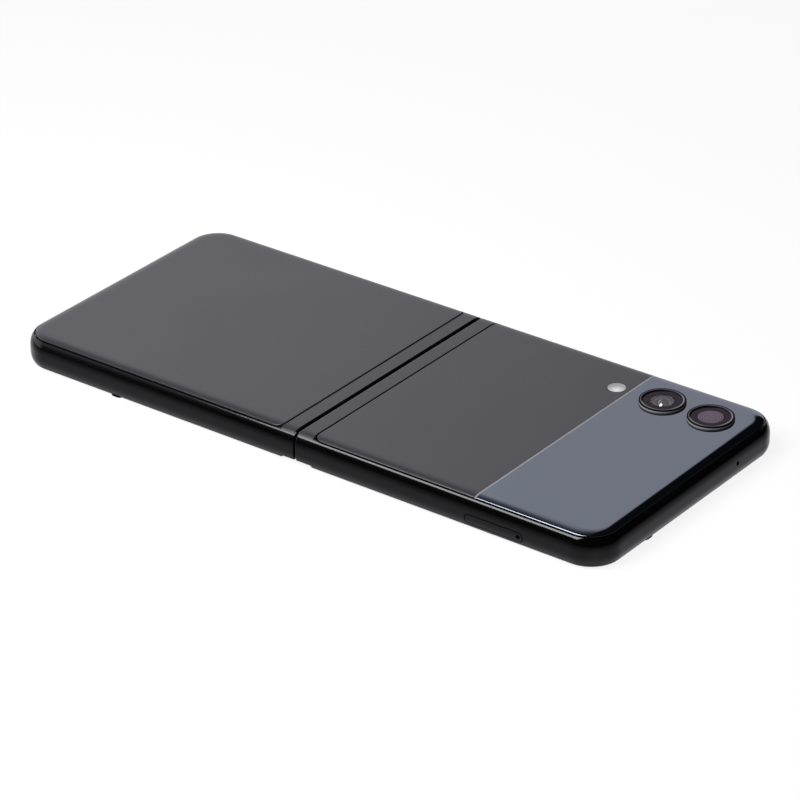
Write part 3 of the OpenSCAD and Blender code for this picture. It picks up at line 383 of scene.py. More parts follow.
class Shader:
    """A Principled material with a few helpers for its texture nodes."""

    def __init__(self, name, color, rough, metal=0.0, ior=1.5, **more):
        self.mat = bpy.data.materials.new(name)
        self.mat.use_nodes = True
        self.tree = self.mat.node_tree
        self.bsdf = self.tree.nodes["Principled BSDF"]
        self.coords = self.add("ShaderNodeTexCoord").outputs["Object"]
        values = {"Base Color": (*color, 1.0), "Roughness": rough, "Metallic": metal, "IOR": ior}
        values.update({key.replace("_", " ").title(): value for key, value in more.items()})
        for socket, value in values.items():
            self.bsdf.inputs[socket].default_value = value

    def add(self, kind, **inputs):
        node = self.tree.nodes.new(kind)
        for key, value in inputs.items():
            node.inputs[key.replace("_", " ").title()].default_value = value
        return node

    def link(self, a, b):
        self.tree.links.new(a, b)

    def color(self, value):
        self.link(value, self.bsdf.inputs["Base Color"])

    def rough(self, value):
        self.link(value, self.bsdf.inputs["Roughness"])

    def stretched(self, scale):
        """Object coordinates, in millimetres, scaled along each axis."""
        mapping = self.add("ShaderNodeMapping")
        mapping.inputs["Scale"].default_value = [s / MM for s in scale]
        self.link(self.coords, mapping.inputs["Vector"])
        return mapping.outputs["Vector"]

    def noise(self, scale, detail=3.0, rough=0.55):
        """Noise whose features are about 1 / scale millimetres, along each axis."""
        scale = scale if isinstance(scale, tuple) else (scale,) * 3
        node = self.add("ShaderNodeTexNoise", scale=1.0, detail=detail, roughness=rough)
        self.link(self.stretched(scale), node.inputs["Vector"])
        return node.outputs["Fac"]

    def spread(self, value, low, high, a=0.3, b=0.7):
        """Maps a factor from a..b to low..high."""
        node = self.add("ShaderNodeMapRange")
        for key, number in (("From Min", a), ("From Max", b), ("To Min", low), ("To Max", high)):
            node.inputs[key].default_value = number
        self.link(value, node.inputs["Value"])
        return node.outputs["Result"]

    def blend(self, value, low, high):
        """Mixes two numbers or colours, each a constant or an output, by a factor."""
        node = self.add("ShaderNodeMix")
        node.data_type = "FLOAT" if getattr(low, "type", "RGBA") == "VALUE" else "RGBA"
        kind = "VALUE" if node.data_type == "FLOAT" else "RGBA"
        sockets = [i for i in node.inputs if i.type == kind and i.name in "AB"]
        for socket, side in zip(sockets, (low, high)):
            if isinstance(side, tuple):
                socket.default_value = (*side, 1.0)
            else:
                self.link(side, socket)
        self.link(value, node.inputs["Factor"])
        return [o for o in node.outputs if o.type == kind][0]

    def axis(self, which):
        """Object coordinate along one axis, in metres."""
        node = self.add("ShaderNodeSeparateXYZ")
        self.link(self.coords, node.inputs["Vector"])
        return node.outputs[which]

    def math(self, operation, a, b=0.0):
        node = self.add("ShaderNodeMath")
        node.operation = operation
        for socket, value in zip(node.inputs, (a, b)):
            if isinstance(value, (int, float)):
                socket.default_value = value
            else:
                self.link(value, socket)
        return node.outputs["Value"]

    def near_fold(self):
        """1 on the flat strips beside the fold, 0 on the rest of the frame. The strips run out to x =
        4.4 on both halves and stop short of the sides. At the fold's gap the upper half's strip starts
        at x = 0.1 to 0.2 and the lower half's only at x = -0.66 to -0.78, so the lower half's rounded
        edge beside the gap stays gloss black as painted shade."""
        def step(axis, low, high, a, b):
            return self.spread(axis, low, high, a * MM, b * MM)

        x, y = self.axis("X"), self.axis("Y")
        out = step(self.math("ABSOLUTE", x), 1, 0, 4.4, 4.45)
        # painted shade: black kept on the lower half's rounded edge by the gap, from x = -0.78
        gap = self.math("MAXIMUM", step(x, 1, 0, -0.78, -0.66), step(x, 0, 1, 0.1, 0.2))
        along_x = self.math("MULTIPLY", out, gap)
        along_y = step(self.math("ABSOLUTE", y), 1, 0, HALF_W - 1.2, HALF_W - 0.98)
        top = step(self.axis("Z"), 0, 1, 7.0, 7.3)
        return self.math("MULTIPLY", self.math("MULTIPLY", along_x, along_y), top)

    def distance(self, x, y):
        """Distance in metres from the vertical axis at a place in millimetres."""
        u = self.math("SUBTRACT", self.axis("X"), x * MM)
        v = self.math("SUBTRACT", self.axis("Y"), y * MM)
        return self.math("SQRT", self.math("ADD", self.math("MULTIPLY", u, u),
                                           self.math("MULTIPLY", v, v)))

    def bump(self, height, strength, depth):
        """Bump from a height factor; depth in millimetres."""
        node = self.add("ShaderNodeBump")
        node.inputs["Strength"].default_value = strength
        node.inputs["Distance"].default_value = depth * MM
        self.link(height, node.inputs["Height"])
        self.link(node.outputs["Normal"], self.bsdf.inputs["Normal"])
        return self

    def mottled(self, scale, low, high):
        """Base colour that drifts between two tones."""
        self.color(self.blend(self.noise(scale), low, high))
        return self

    def worn(self, scale, low, high):
        """Roughness that drifts between two values, as handled surfaces do."""
        self.rough(self.spread(self.noise(scale), low, high))
        return self


def lacquered_metal():
    """Gloss black rim; its strips beside the fold carry the back's satin finish, but the lower half's
    rounded edge by the gap stays black as painted shade.
    """
    s = Shader("frame_metal", (0.0028, 0.0028, 0.003), 0.13, ior=1.42)
    strip = s.near_fold()
    rim = s.blend(s.noise(0.05), (0.001, 0.001, 0.0012), (0.0016, 0.0016, 0.0018))
    satin = s.blend(s.noise(0.035), (0.024, 0.0225, 0.029), (0.028, 0.0265, 0.033))
    s.color(s.blend(strip, rim, satin))
    rough = s.spread(s.noise(0.09), 0.095, 0.125)
    s.rough(s.blend(strip, rough, s.spread(s.noise(0.05), 0.28, 0.32)))
    return s.bump(s.noise(1.6, 2.0), 0.02, 0.01).mat


def finish(name, color, rough, tones=None, wear=None, grain=None, **more):
    """Material whose tone and roughness drift a little. Tones and wear hold a noise scale
    and two ends; grain a noise scale, its detail, and the bump's strength and depth."""
    s = Shader(name, color, rough, **more)
    if tones:
        s.mottled(*tones)
    if wear:
        s.worn(*wear)
    if grain:
        scale, detail, strength, depth = grain
        s.bump(s.noise(scale, detail), strength, depth)
    return s.mat


def lens_coat():
    """Coated front of the second camera, its tone darker towards its rim. Faint light rings in its
    colour are painted reflections from where the elements behind it end."""
    s = Shader("lens_glass_2", (0.025, 0.016, 0.028), 0.04, ior=1.42, specular_tint=(1, 0.75, 1, 1))
    # painted reflection: faint light rings, 0.52 mm apart, for the edges of the elements behind the
    # front
    pitch, faint = 0.52 * MM, 0.3
    far = s.distance(CAMERA_X[1], CAMERA_Y)
    wave = s.math("SINE", s.math("MULTIPLY", far, 2 * math.pi / pitch))
    rings = s.spread(wave, 0, faint, 0.4, 1.0)
    base = s.blend(s.spread(far, 0, 1, 0, LENS_OPEN[1] * MM), (0.036, 0.022, 0.04), (0.018, 0.01, 0.02))
    s.color(s.blend(rings, base, (0.4, 0.3, 0.42)))
    return s.worn(0.7, 0.03, 0.06).mat


def flash_plastic():
    """Milky lens with a painted highlight: lighter round a spot off its centre, towards +x and -y."""
    s = Shader("flash_plastic", (0.4, 0.4, 0.41), 0.25)
    # painted highlight: a lighter patch round a point 0.75 mm towards +x and 1.1 mm towards -y from the
    # lens's centre
    glow = s.spread(s.distance(FLASH[0] + 0.75, FLASH[1] - 1.1), 1, 0, 0.3 * MM, 2.3 * MM)
    shade = s.blend(s.noise(0.9), (0.25, 0.24, 0.27), (0.31, 0.3, 0.33))
    s.color(s.blend(glow, shade, (0.68, 0.66, 0.67)))
    return s.bump(s.noise(3.0, 1.0), 0.1, 0.02).mat


def brushed(name, color, rough, grain):
    """Bare metal with fine lines; grain is their scale along each axis."""
    s = Shader(name, color, rough, metal=1.0)
    lines = s.noise(grain, 3.0)
    s.color(s.blend(lines, tuple(c * 0.82 for c in color), color))
    s.rough(s.spread(lines, rough - 0.06, rough + 0.08))
    return s.bump(lines, 0.12, 0.006).mat


def moulded(name, color, rough, lift):
    """Plain moulded plastic or wrap, with a fine grain."""
    return finish(name, color, rough, tones=(0.25, color, tuple(c * lift for c in color)),
                  wear=(0.4, rough - 0.06, rough + 0.08), grain=(10.0, 2.0, 0.12, 0.01))


def circuit_board():
    """Solder mask with fine tracks under it."""
    s = Shader("board", (0.012, 0.06, 0.035), 0.35)
    bricks = s.add("ShaderNodeTexBrick", scale=1.0)
    s.link(s.stretched((0.7, 0.7, 0.7)), bricks.inputs["Vector"])
    s.color(s.blend(bricks.outputs["Fac"], (0.01, 0.05, 0.03), (0.03, 0.12, 0.06)))
    return s.bump(bricks.outputs["Fac"], 0.2, 0.02).mat


METAL = lacquered_metal()
SATIN = finish("satin_glass", (0.024, 0.0225, 0.029), 0.28, ior=1.46,
               tones=(0.035, (0.022, 0.0205, 0.0265), (0.026, 0.0245, 0.031)),
               wear=(0.05, 0.265, 0.295), grain=(22.0, 2.0, 0.02, 0.002))
WINDOW = finish("window_glass", (0.0012, 0.0014, 0.002), 0.03, ior=2.6,
                specular_tint=(0.72, 0.81, 1, 1),
                tones=(0.06, (0.0009, 0.0011, 0.0016), (0.0015, 0.0018, 0.0025)),
                wear=(0.08, 0.02, 0.04))
# painted highlight: the window's bevel is a light grey that stands for the bright line along that edge
BEVEL_HIGHLIGHT = finish("window_bevel_highlight", (0.17, 0.17, 0.18), 0.3,
                tones=(0.4, (0.155, 0.155, 0.165), (0.185, 0.185, 0.195)), wear=(0.5, 0.26, 0.34))
RING = finish("ring_black", (0.003, 0.003, 0.003), 0.45, ior=1.12,
              tones=(0.8, (0.0025, 0.0025, 0.0025), (0.004, 0.004, 0.004)), wear=(0.6, 0.4, 0.5))
RING_BEVEL = finish("ring_bevel", (0.16, 0.1536, 0.16), 0.1, metal=1.0,
                    tones=(0.8, (0.1504, 0.144, 0.1504), (0.1696, 0.1632, 0.1696)),
                    wear=(0.6, 0.08, 0.13))
# painted reflection: each ring's foot is a light grey that stands for the window's reflection seen below
# the flange
RING_FOOT_REFLECTION = moulded("ring_foot_reflection", (0.27, 0.27, 0.29), 0.45, 1.1)
MASK = finish("lens_mask", (0.012, 0.004, 0.011), 0.1, ior=1.15,
              tones=(0.5, (0.01, 0.0035, 0.009), (0.015, 0.005, 0.014)))
FRONT = finish("lens_front", (0.95, 0.93, 0.97), 0.0, ior=1.28, transmission_weight=1.0,
               specular_tint=(1, 0.8, 1, 1), tones=(2.5, (0.94, 0.92, 0.96), (0.96, 0.94, 0.98)))
INNER = finish("lens_inner", (0.17, 0.145, 0.178), 0.03, metal=1.0, wear=(1.2, 0.02, 0.04))
COAT = lens_coat()
BARREL = finish("lens_barrel", (0.004, 0.003, 0.005), 0.45, ior=1.03, wear=(1.5, 0.3, 0.45))
FLASH_MAT = flash_plastic()
BEZEL = finish("bezel_plastic", (0.009, 0.009, 0.01), 0.32, ior=1.3,
               tones=(0.12, (0.007, 0.007, 0.008), (0.012, 0.012, 0.013)),
               wear=(0.2, 0.28, 0.38), grain=(14.0, 2.0, 0.08, 0.006))
RUBBER = finish("bumper_rubber", (0.005, 0.005, 0.005), 0.75, ior=1.12,
                tones=(0.6, (0.004, 0.004, 0.004), (0.008, 0.008, 0.008)),
                grain=(9.0, 3.0, 0.25, 0.02))
BREAK = finish("antenna_plastic", (0.014, 0.014, 0.015), 0.34,
               tones=(0.5, (0.012, 0.012, 0.013), (0.019, 0.019, 0.02)), wear=(0.4, 0.3, 0.4))
FILM = finish("display", (0.004, 0.004, 0.0055), 0.05, specular_tint=(0.9, 0.93, 1, 1),
              tones=(0.03, (0.003, 0.003, 0.004), (0.006, 0.006, 0.008)),
              wear=(0.05, 0.035, 0.08), grain=(0.12, 2.0, 0.03, 0.02))
SPINE = finish("spine_metal", (0.03, 0.027, 0.03), 0.3, metal=0.2,
               tones=(0.08, (0.026, 0.023, 0.026), (0.036, 0.032, 0.036)),
               wear=(0.1, 0.26, 0.36), grain=((0.5, 7.0, 7.0), 2.0, 0.05, 0.005))
SENSOR = finish("sensor", (0.008, 0.008, 0.009), 0.22,
                tones=(0.7, (0.007, 0.007, 0.008), (0.011, 0.011, 0.012)),
                wear=(0.6, 0.18, 0.28), grain=(8.0, 2.0, 0.04, 0.004))
INSIDE = {"board": circuit_board(), "display": FILM, "frame_metal": METAL, "spine_metal": SPINE}
for name, color, rough, lift in (
        ("adhesive", (0.012, 0.012, 0.012), 0.6, 1.5),
        ("flex_film", (0.22, 0.08, 0.02), 0.25, 1.5),
        ("cell_wrap", (0.03, 0.03, 0.034), 0.45, 1.5),
        ("black_plastic", (0.014, 0.014, 0.014), 0.5, 1.5),
        ("led", (0.75, 0.6, 0.2), 0.4, 1.1)):
    INSIDE[name] = moulded(name, color, rough, lift)
for name, color, rough, grain in (
        ("plate_steel", (0.45, 0.45, 0.46), 0.3, (0.4, 9.0, 9.0)),
        ("hinge_steel", (0.52, 0.52, 0.53), 0.28, (0.4, 9.0, 9.0)),
        ("port_steel", (0.5, 0.5, 0.5), 0.26, (0.4, 9.0, 9.0)),
        ("mic_can", (0.6, 0.5, 0.3), 0.3, (0.4, 9.0, 9.0)),
        ("screw_steel", (0.4, 0.4, 0.41), 0.3, (3.0, 3.0, 3.0)),
        ("gear_brass", (0.62, 0.44, 0.18), 0.3, (5.0, 1.0, 5.0)),
        ("coil_copper", (0.62, 0.26, 0.1), 0.3, (2.0, 2.0, 9.0))):
    INSIDE[name] = brushed(name, color, rough, grain)

# ---- Frame halves ----


def body_slab(name, side=1, shrink=0.0):
    """Half of the body, from the display's surface to the back, its fold end rounded."""
    bottom_round = 0.05
    start = Z_BACK - FOLD_ROUND
    turned = [start + FOLD_ROUND * sind(a) for a in range(10, 90, 10)]
    loops = []
    for z in side_levels(Z_DISP, Z_BACK, [Z_DISP + bottom_round, start, *turned]):
        lift = min((z - start) / FOLD_ROUND, 1) if z > start else 0
        x0 = SEAM_X + FOLD_ROUND * (1 - math.sqrt(max(0, 1 - lift * lift)))
        inset = side_in(z) + shrink + (bottom_round if z == Z_DISP else 0)
        loops.append(level(half_plate(x0, inset, FOLD_CORNER), z))
    loops.append(level(half_plate(SEAM_X + FOLD_ROUND + 0.2, TOP_IN + 0.3, FOLD_CORNER), Z_BACK))
    return build(name, loft(loops, "strip"), side=side)


def glass_seat(side):
    """Cutter for the glass's seat: a ledge, a groove round it and a chamfered rim."""
    def ring(grow, height):
        points = half_plate(GLASS_X + FOLD_SEAT - grow, RIM_IN - grow, GLASS_R + 0.35 + grow)
        return [(x, y, height(x, y)) for x, y in points]

    return build("seat", loft([
        ring(-GROOVE_W, lambda x, y: Z_GLASS - 0.01),
        ring(-GROOVE_W, lambda x, y: GROOVE_Z),
        ring(0, lambda x, y: GROOVE_Z),
        ring(0, lambda x, y: surface(x, y) - CHAMFER),
        ring(CHAMFER, surface),
        ring(3 * CHAMFER, lambda x, y: surface(x, y) + 2.5 * CHAMFER),
        ring(3 * CHAMFER, lambda x, y: Z_BACK + 2)], "strip"), side=side)


def inner_cuts(side):
    """Cutters for the room inside, the display's seat and the spine's cradle."""
    pocket_x = AXIS_X + CRADLE_R + 1.2
    room = [level(half_plate(pocket_x, WALL, 1.5), z) for z in (WALL, Z_GLASS + 0.1)]
    seat = [level(half_plate(-1, DISPLAY_IN - 0.1, 0.3), z) for z in (Z_DISP - 1, SEAT_Z)]
    return [build("cut", loft(room, "strip"), side=side),
            build("cut", loft(seat, "strip"), side=side),
            prism("y", (AXIS_X, 0, Z_DISP), circle(CRADLE_R, 120), -CRADLE_Y, CRADLE_Y, side=side)]


def mouth(axis, centre, outline, inside, face, out, flare):
    """Cutter for an opening in the side, with a chamfered mouth where it meets the face."""
    sign = 1 if out > face else -1
    grown = [(u * (1 + flare / max(abs(u), flare)), v * (1 + flare / max(abs(v), flare)))
             for u, v in outline]
    return build("cut", loft([along(axis, centre, outline, inside),
                              along(axis, centre, outline, face - sign * flare),
                              along(axis, centre, grown, face),
                              along(axis, centre, grown, out)]))


def speaker_ys():
    """Places of the loudspeaker's holes along its length."""
    first, pitch, count = speaker_lo.y + 1.5, 2.4, 6
    return [first + pitch * k for k in range(count)]


def lower_openings():
    """Cutters for the USB-C port, the loudspeaker's holes and the microphone's."""
    wall, face, out = -HALF_L + 4, -HALF_L + side_in(USB_Z), -HALF_L - 1
    cuts = [mouth("x", (0, 0, USB_Z), round_rect(USB_W + 0.06, USB_H + 0.06, USB_H / 2), wall, face,
                  out, 0.12)]
    for y in speaker_ys():
        cuts.append(mouth("x", (0, y, USB_Z), circle(0.6, 32), wall, face, out, 0.08))
    cuts.append(mouth("x", (0, middle("bottom_mic")[1], USB_Z), circle(0.4, 32), wall, face, out, 0.06))
    return cuts


def key_cuts(lo, hi):
    """Cutters for a key: the seat of its face and the slot for its neck."""
    centre, l, gap = ((lo.x + hi.x) / 2, 0, KEY_Z), hi.x - lo.x, 0.12
    outline = round_rect(l + 2 * gap, KEY_H + 2 * gap, KEY_H / 2 + gap)
    return [mouth("y", centre, outline, HALF_W - 1.8, HALF_W, HALF_W + 1, 0.08),
            prism("y", centre, round_rect(l - 3.5, 1.5, 0.2), HALF_W - 3.5, HALF_W + 1)]


def upper_openings():
    """Cutters for the keys, the SIM tray and the top microphone."""
    gap = 0.22
    cuts = key_cuts(rocker_lo, rocker_hi) + key_cuts(power_lo, power_hi)
    face = -HALF_W + side_in(TRAY_Z)
    outline = round_rect(TRAY_L + 2 * gap, TRAY_H + 2 * gap, TRAY_H / 2 + gap - 0.01)
    slot = round_rect(TRAY_L - 1.6, 1.0, 0.1)
    mic = (0, middle("top_mic")[1] - 0.5, Z_DISP + 3 - 0.25)
    return cuts + [prism("y", (TRAY_X, 0, TRAY_Z), outline, -HALF_W + 1.1, face - 1),
                   prism("y", (TRAY_X, 0, CARD_Z), slot, -HALF_W + 4, -HALF_W - 1),
                   mouth("x", mic, circle(0.5, 40), HALF_L - 4, HALF_L, HALF_L + 1, 0.06),
                   prism("z", (SELFIE_X, 0, 0), circle(SELFIE_R, 48), 0, 3)]


def break_boxes(spots, grow=0.0):
    """Boxes round the antenna breaks; each spot is a pair of corners."""
    out = []
    for (xa, ya), (xb, yb) in spots:
        xs, ys = (xa - grow, xb + grow), (ya - grow, yb + grow)
        corners = [(xs[0], ys[0]), (xs[1], ys[0]), (xs[1], ys[1]), (xs[0], ys[1])]
        out.append(build("cut", loft([level(corners, z) for z in (SEAT_Z, Z_GLASS - 0.35)])))
    return out


break_y = break_hi.y - BREAK_W / 2
LOWER_BREAKS = [((-HALF_L - 1, s * break_y - BREAK_W / 2), (-HALF_L + 1.5, s * break_y + BREAK_W / 2))
                for s in (-1, 1)]
UPPER_BREAKS = [((x - BREAK_W / 2, HALF_W - 1.2), (x + BREAK_W / 2, HALF_W + 1))
                for x in UPPER_BREAK_XS]


def frame_half(half, side, openings, breaks):
    obj = body_slab(half + "_shell", side)
    obj.data.materials.append(METAL)
    combine(obj, [glass_seat(side), *inner_cuts(side), *openings, *break_boxes(breaks, 0.02)])
    dress(obj, half + "_half", half + "_frame")


def antenna_breaks(half, side, breaks):
    """Flush plastic strips in the rim."""
    parts = break_boxes(breaks)
    strips = combine(parts[0], parts[1:], "UNION")
    strips.name = half + "_break_strips"
    combine(strips, [body_slab("cut", side, 0.01)], "INTERSECT")
    strips.data.materials.clear()
    strips.data.materials.append(BREAK)
    dress(strips, half + "_half", half + "_antenna_breaks")


frame_half("lower", -1, lower_openings(), LOWER_BREAKS)
frame_half("upper", 1, upper_openings(), UPPER_BREAKS)
antenna_breaks("lower", -1, LOWER_BREAKS)
antenna_breaks("upper", 1, UPPER_BREAKS)

# ---- Back glass ----

GLASS_ROWS = [0, 0.012, 0.03, 0.06, 0.1, 0.17, 0.27, 0.4, 0.56, 0.75, 0.96, 1.2, 1.45, 1.75, 2.1,
              2.5, 2.95, 3.4]


def edge_drop(d):
    """How far the pencil edge of the glass lies below the surface."""
    return EDGE_R - math.sqrt(EDGE_R ** 2 - (EDGE_R - min(d, EDGE_R)) ** 2)


def satin_plate(x1=None):
    """Back glass with a pencil edge; x1 is where the window cuts it off."""
    x0 = GLASS_X + FOLD_EDGE
    loops = []
    for d in [None, *GLASS_ROWS]:
        step = d or 0
        fold_step = step if step < EDGE_R else EDGE_R + (step - EDGE_R) * 0.3
        inset = GLASS_IN + step
        w, r0 = HALF_W - inset, GLASS_R - fold_step * 0.6
        if x1:
            end = x1 - min(step, 0.03)
            points = plate(x0 + fold_step, end, w, r0, 0.02, n1=2)
        else:
            points = half_plate(x0 + fold_step, inset, r0)
        loops.append([(x, y, Z_GLASS if d is None else surface(x, y) - edge_drop(step))
                      for x, y in points])
    return loft(loops, "strip")


def window_plate(x0, x1=None, drop=0.0):
    """Cover window from x0 to the end; with x1, the bevel along its straight edge, which
    falls by drop towards the fold."""
    loops = []
    for d in [None, *GLASS_ROWS]:
        inset = GLASS_IN + (d or 0)
        if x1:
            points = plate(x0, x1, HALF_W - inset, 0.02, 0.02, n0=2, n1=2)
        else:
            points = plate(x0, HALF_L - inset, HALF_W - inset, 0.02, CORNER_R - inset, n0=2)
        loop = []
        for x, y in points:
            low = drop * (x1 - x) / (x1 - x0) if x1 else 0
            loop.append((x, y, Z_GLASS if d is None else surface(x, y) - edge_drop(d) - low))
        loops.append(loop)
    return loft(loops, "strip")


def round_holes(spots):
    return [prism("z", (x, y, 0), circle(r, 96), Z_GLASS - 1, Z_BACK + 1) for x, y, r in spots]


lower_glass = build("lower_glass", satin_plate(), SATIN, side=-1)
dress(lower_glass, "lower_half", "lower_back_glass")
upper_glass = build("upper_glass", satin_plate(WINDOW_X - BEVEL_W - 0.02), SATIN)
combine(upper_glass, round_holes([(*FLASH, FLASH_R + 0.06)]))
dress(upper_glass, "upper_half", "upper_back_glass")
window = build("window", window_plate(WINDOW_X + 0.01), WINDOW)
combine(window, round_holes([(x, CAMERA_Y, RING_R + 0.04) for x in CAMERA_X]))
dress(window, "upper_half", "window_glass")
bevel = build("window_bevel_highlight", window_plate(WINDOW_X - BEVEL_W, WINDOW_X, BEVEL_H), BEVEL_HIGHLIGHT)
dress(bevel, "upper_half", "window_glass")

# ---- Cameras and flash ----


def ring_profiles():
    """Sections of a camera ring's black body, bright inner bevel and foot."""
    top, glass, foot, root = Z_RING, lens_hi.z, Z_RING - 0.28, Z_GLASS - 1
    step, hub, round_r = 5.03, LENS_R + 0.35, 0.08
    edge = [(RING_R - round_r + round_r * cosd(a),
             top - round_r + round_r * sind(a)) for a in range(0, 91, 15)]
    body = [(RING_R, foot), *edge, (step + 0.01, top - 0.02), (step, top - 0.16),
            (LENS_R + 0.09, top - 0.19), (LENS_R + 0.04, glass + 0.01), (LENS_R + 0.01, glass - 0.02),
            (LENS_R + 0.01, glass - 0.42), (LENS_R - 0.35, glass - 0.45), (LENS_R - 0.35, root),
            (hub - 0.01, root), (hub, foot)]
    bevel = [(step - 0.01, top - 0.03), (4.98, top - 0.012), (4.8, top - 0.06), (4.62, top - 0.108),
             (4.61, top - 0.18), (step - 0.01, top - 0.15)]
    low = [(RING_R - 0.02, foot + 0.005), (RING_R - 0.02, Z_GLASS - 0.2), (RING_R + 0.7, Z_GLASS - 0.2),
           (RING_R + 0.7, root), (hub + 0.01, root), (hub + 0.01, foot + 0.005)]
    return body, bevel, low


def disc_cap(radius, top, rise):
    """Half section of a shallow dome, from its rim to near its axis."""
    return [(radius * sind(a), top + rise * (cosd(a) - 1))
            for a in range(88, 2, -5)]


def lens_shapes(number, x):
    """Mask ring and elements of one camera, with their materials: the first has a clear
    front over a barrel and a domed element, the second a coated front."""
    clear = number == 1
    radius, top, centre = LENS_OPEN[number - 1], lens_hi.z, (x, CAMERA_Y)
    low = top - 0.43
    mask = [(LENS_R, top - 0.03), (LENS_R - 0.03, top), (radius, top), (radius, low), (LENS_R, low)]
    yield "mask", lathe(mask, centre, 128), MASK
    rise, thick = (0.05, 0.2) if clear else (0.03, 0.4)
    front = [(0.1, top - thick), (radius - 0.01, top - thick), (radius - 0.01, top - rise),
             *disc_cap(radius, top, rise)]
    yield "front", lathe(front, centre, 128, closed=False), FRONT if clear else COAT
    if clear:
        throat, neck, end = 0.762, top - 1.19, top - 1.59
        barrel = [(radius - 0.02, top - 0.22), (throat, neck), (throat, end), (radius, end)]
        yield "barrel", lathe(barrel, centre, 128), BARREL
        dome = [(1.75 * sind(a), top - 1.6 + 1.45 * cosd(a))
                for a in range(90, 2, -5)]
        yield "element", lathe(dome, (x, CAMERA_Y + 0.45), 128, closed=False), INNER


for number, x in enumerate(CAMERA_X, 1):
    ring_looks = zip(("body", "bevel", "foot"), ring_profiles(), (RING, RING_BEVEL, RING_FOOT_REFLECTION))
    for kind, profile, mat in ring_looks:
        piece = build(f"ring_{kind}_{number}", lathe(profile, (x, CAMERA_Y), 128), mat)
        dress(piece, "upper_half", "camera_rings", sharp=40)
    for kind, shape, mat in lens_shapes(number, x):
        piece = build(f"lens_{kind}_{number}", shape, mat)
        dress(piece, "upper_half", "camera_lens_glass", sharp=40)


def flash_shape():
    """Flash lens: flush disc with shallow rings."""
    top = Z_BACK
    rings = []
    for k in range(5):
        r = FLASH_R - 0.35 - 0.35 * k
        rings += [(r, top - 0.02), (r - 0.1, top - 0.045), (r - 0.25, top - 0.02)]
    return lathe([(FLASH_R, Z_GLASS - 0.45), (FLASH_R, top - 0.08), (FLASH_R - 0.03, top - 0.03),
                  (FLASH_R - 0.08, top - 0.01), *rings, (0.1, top - 0.02)], FLASH, closed=False)


dress(build("flash_window", flash_shape(), FLASH_MAT), "upper_half", "flash_lens",
      sharp=40)

# ---- Front: bezels, bumpers, display ----


def bezel_section():
    """Section of the raised bezel: it carries the side's curve on to the front."""
    outer = [(side_in(z), z) for z in (0.3, 0.38, 0.48, 0.6, 0.72, 0.84, 0.94, 1.0)]
    return [(BEZEL_W, Z_DISP - 0.01), (BEZEL_W, Z_BEZEL + 0.1), (BEZEL_W - 0.03, Z_BEZEL + 0.03),
            (BEZEL_W - 0.1, Z_BEZEL), (side_in(Z_BEZEL) + 0.05, Z_BEZEL), *outer,
            (side_in(Z_DISP) + 0.05, Z_DISP - 0.01)]


def bumper_spots(node):
    """Centre, length and width of each bumper, from the loose parts of its node."""
    obj = frame["nodes"][node]
    bm = bmesh.new()
    bm.from_mesh(obj.data)
    bmesh.ops.remove_doubles(bm, verts=bm.verts, dist=0.001 * MM)
    left, spots = set(bm.verts), []
    while left:
        stack, part = [left.pop()], []
        while stack:
            v = stack.pop()
            part.append(v.co / MM)
            for e in v.link_edges:
                w = e.other_vert(v)
                if w in left:
                    left.remove(w)
                    stack.append(w)
        lo = [min(p[k] for p in part) for k in range(3)]
        hi = [max(p[k] for p in part) for k in range(3)]
        spots.append(((lo[0] + hi[0]) / 2, (lo[1] + hi[1]) / 2, hi[0] - lo[0], hi[1] - lo[1], hi[2]))
    bm.free()
    return sorted(spots)


def widened(half, spot):
    """A bumper's spot; those whose edge shows reach further towards the rim."""
    x, y, l, w, top = spot
    to_side, to_end = 0.6, 0.7
    if l > w:
        moved = (x, y + math.copysign(to_side / 2, y), l, w + to_side, top)
        return moved if half == "lower" else spot
    return (x + to_end / 2, y, l + to_end, w, top) if y < 0 else spot


def bumper_piece(name, spot):
    x, y, l, w, top = spot
    rows = [(top, 0), (0.14, 0), (0.07, 0.02), (0.03, 0.06), (0.008, 0.12), (0, 0.2)]
    return build(name, bar("z", (x, y, 0), (l, w), rows, slack=0.005), RUBBER)


def front_trim(half, side):
    """Bezel with its bumpers, on one half."""
    body = half + "_half"
    bezel = build(half + "_bezel_ring", rim_sweep(bezel_section(), BEZEL_X), BEZEL, side=side)
    spots = [widened(half, spot) for spot in bumper_spots(half + "_bumpers")]
    seats = []
    for x, y, l, w, top in spots:
        outline = round_rect(l + 0.1, w + 0.1, min(l, w) / 2 + 0.04)
        seats.append(prism("z", (x, y, 0), outline, 0, top + 0.01))
    combine(bezel, seats)
    dress(bezel, body, half + "_bezel")
    for number, spot in enumerate(spots, 1):
        dress(bumper_piece(f"{half}_bumper_{number}", spot), body, half + "_bumpers")


front_trim("lower", -1)
front_trim("upper", 1)


def display_half(half, side, hole=None):
    """Rigid part of the folding display."""
    inset, soft = DISPLAY_IN, 0.03
    levels = [(Z_DISP, soft), (Z_DISP + soft, 0), (Z_PLATE, 0)]
    loops = [level(half_plate(DISPLAY_X - DISPLAY_LAP, inset + d, 0.05), z) for z, d in levels]
    obj = build(half + "_screen", loft(loops, "strip"), FILM, side=side)
    if hole:
        combine(obj, [prism("z", (hole, 0, 0), circle(SELFIE_R - 0.2, 64), 0, 2)])
    dress(obj, half + "_half", "display_" + half)


display_half("lower", -1)
display_half("upper", 1, SELFIE_X)


def bending_strip(name, start, section, material):
    """Flat strip from x = start to the middle, with enough rows to bend smoothly."""
    rows = 36
    half_w, za, zb = section
    corners = ((-half_w, za), (half_w, za), (half_w, zb), (-half_w, zb))
    return build(name, loft([[(start + (0 - start) * k / rows, y, z) for y, z in corners]
                             for k in range(rows + 1)]), material)


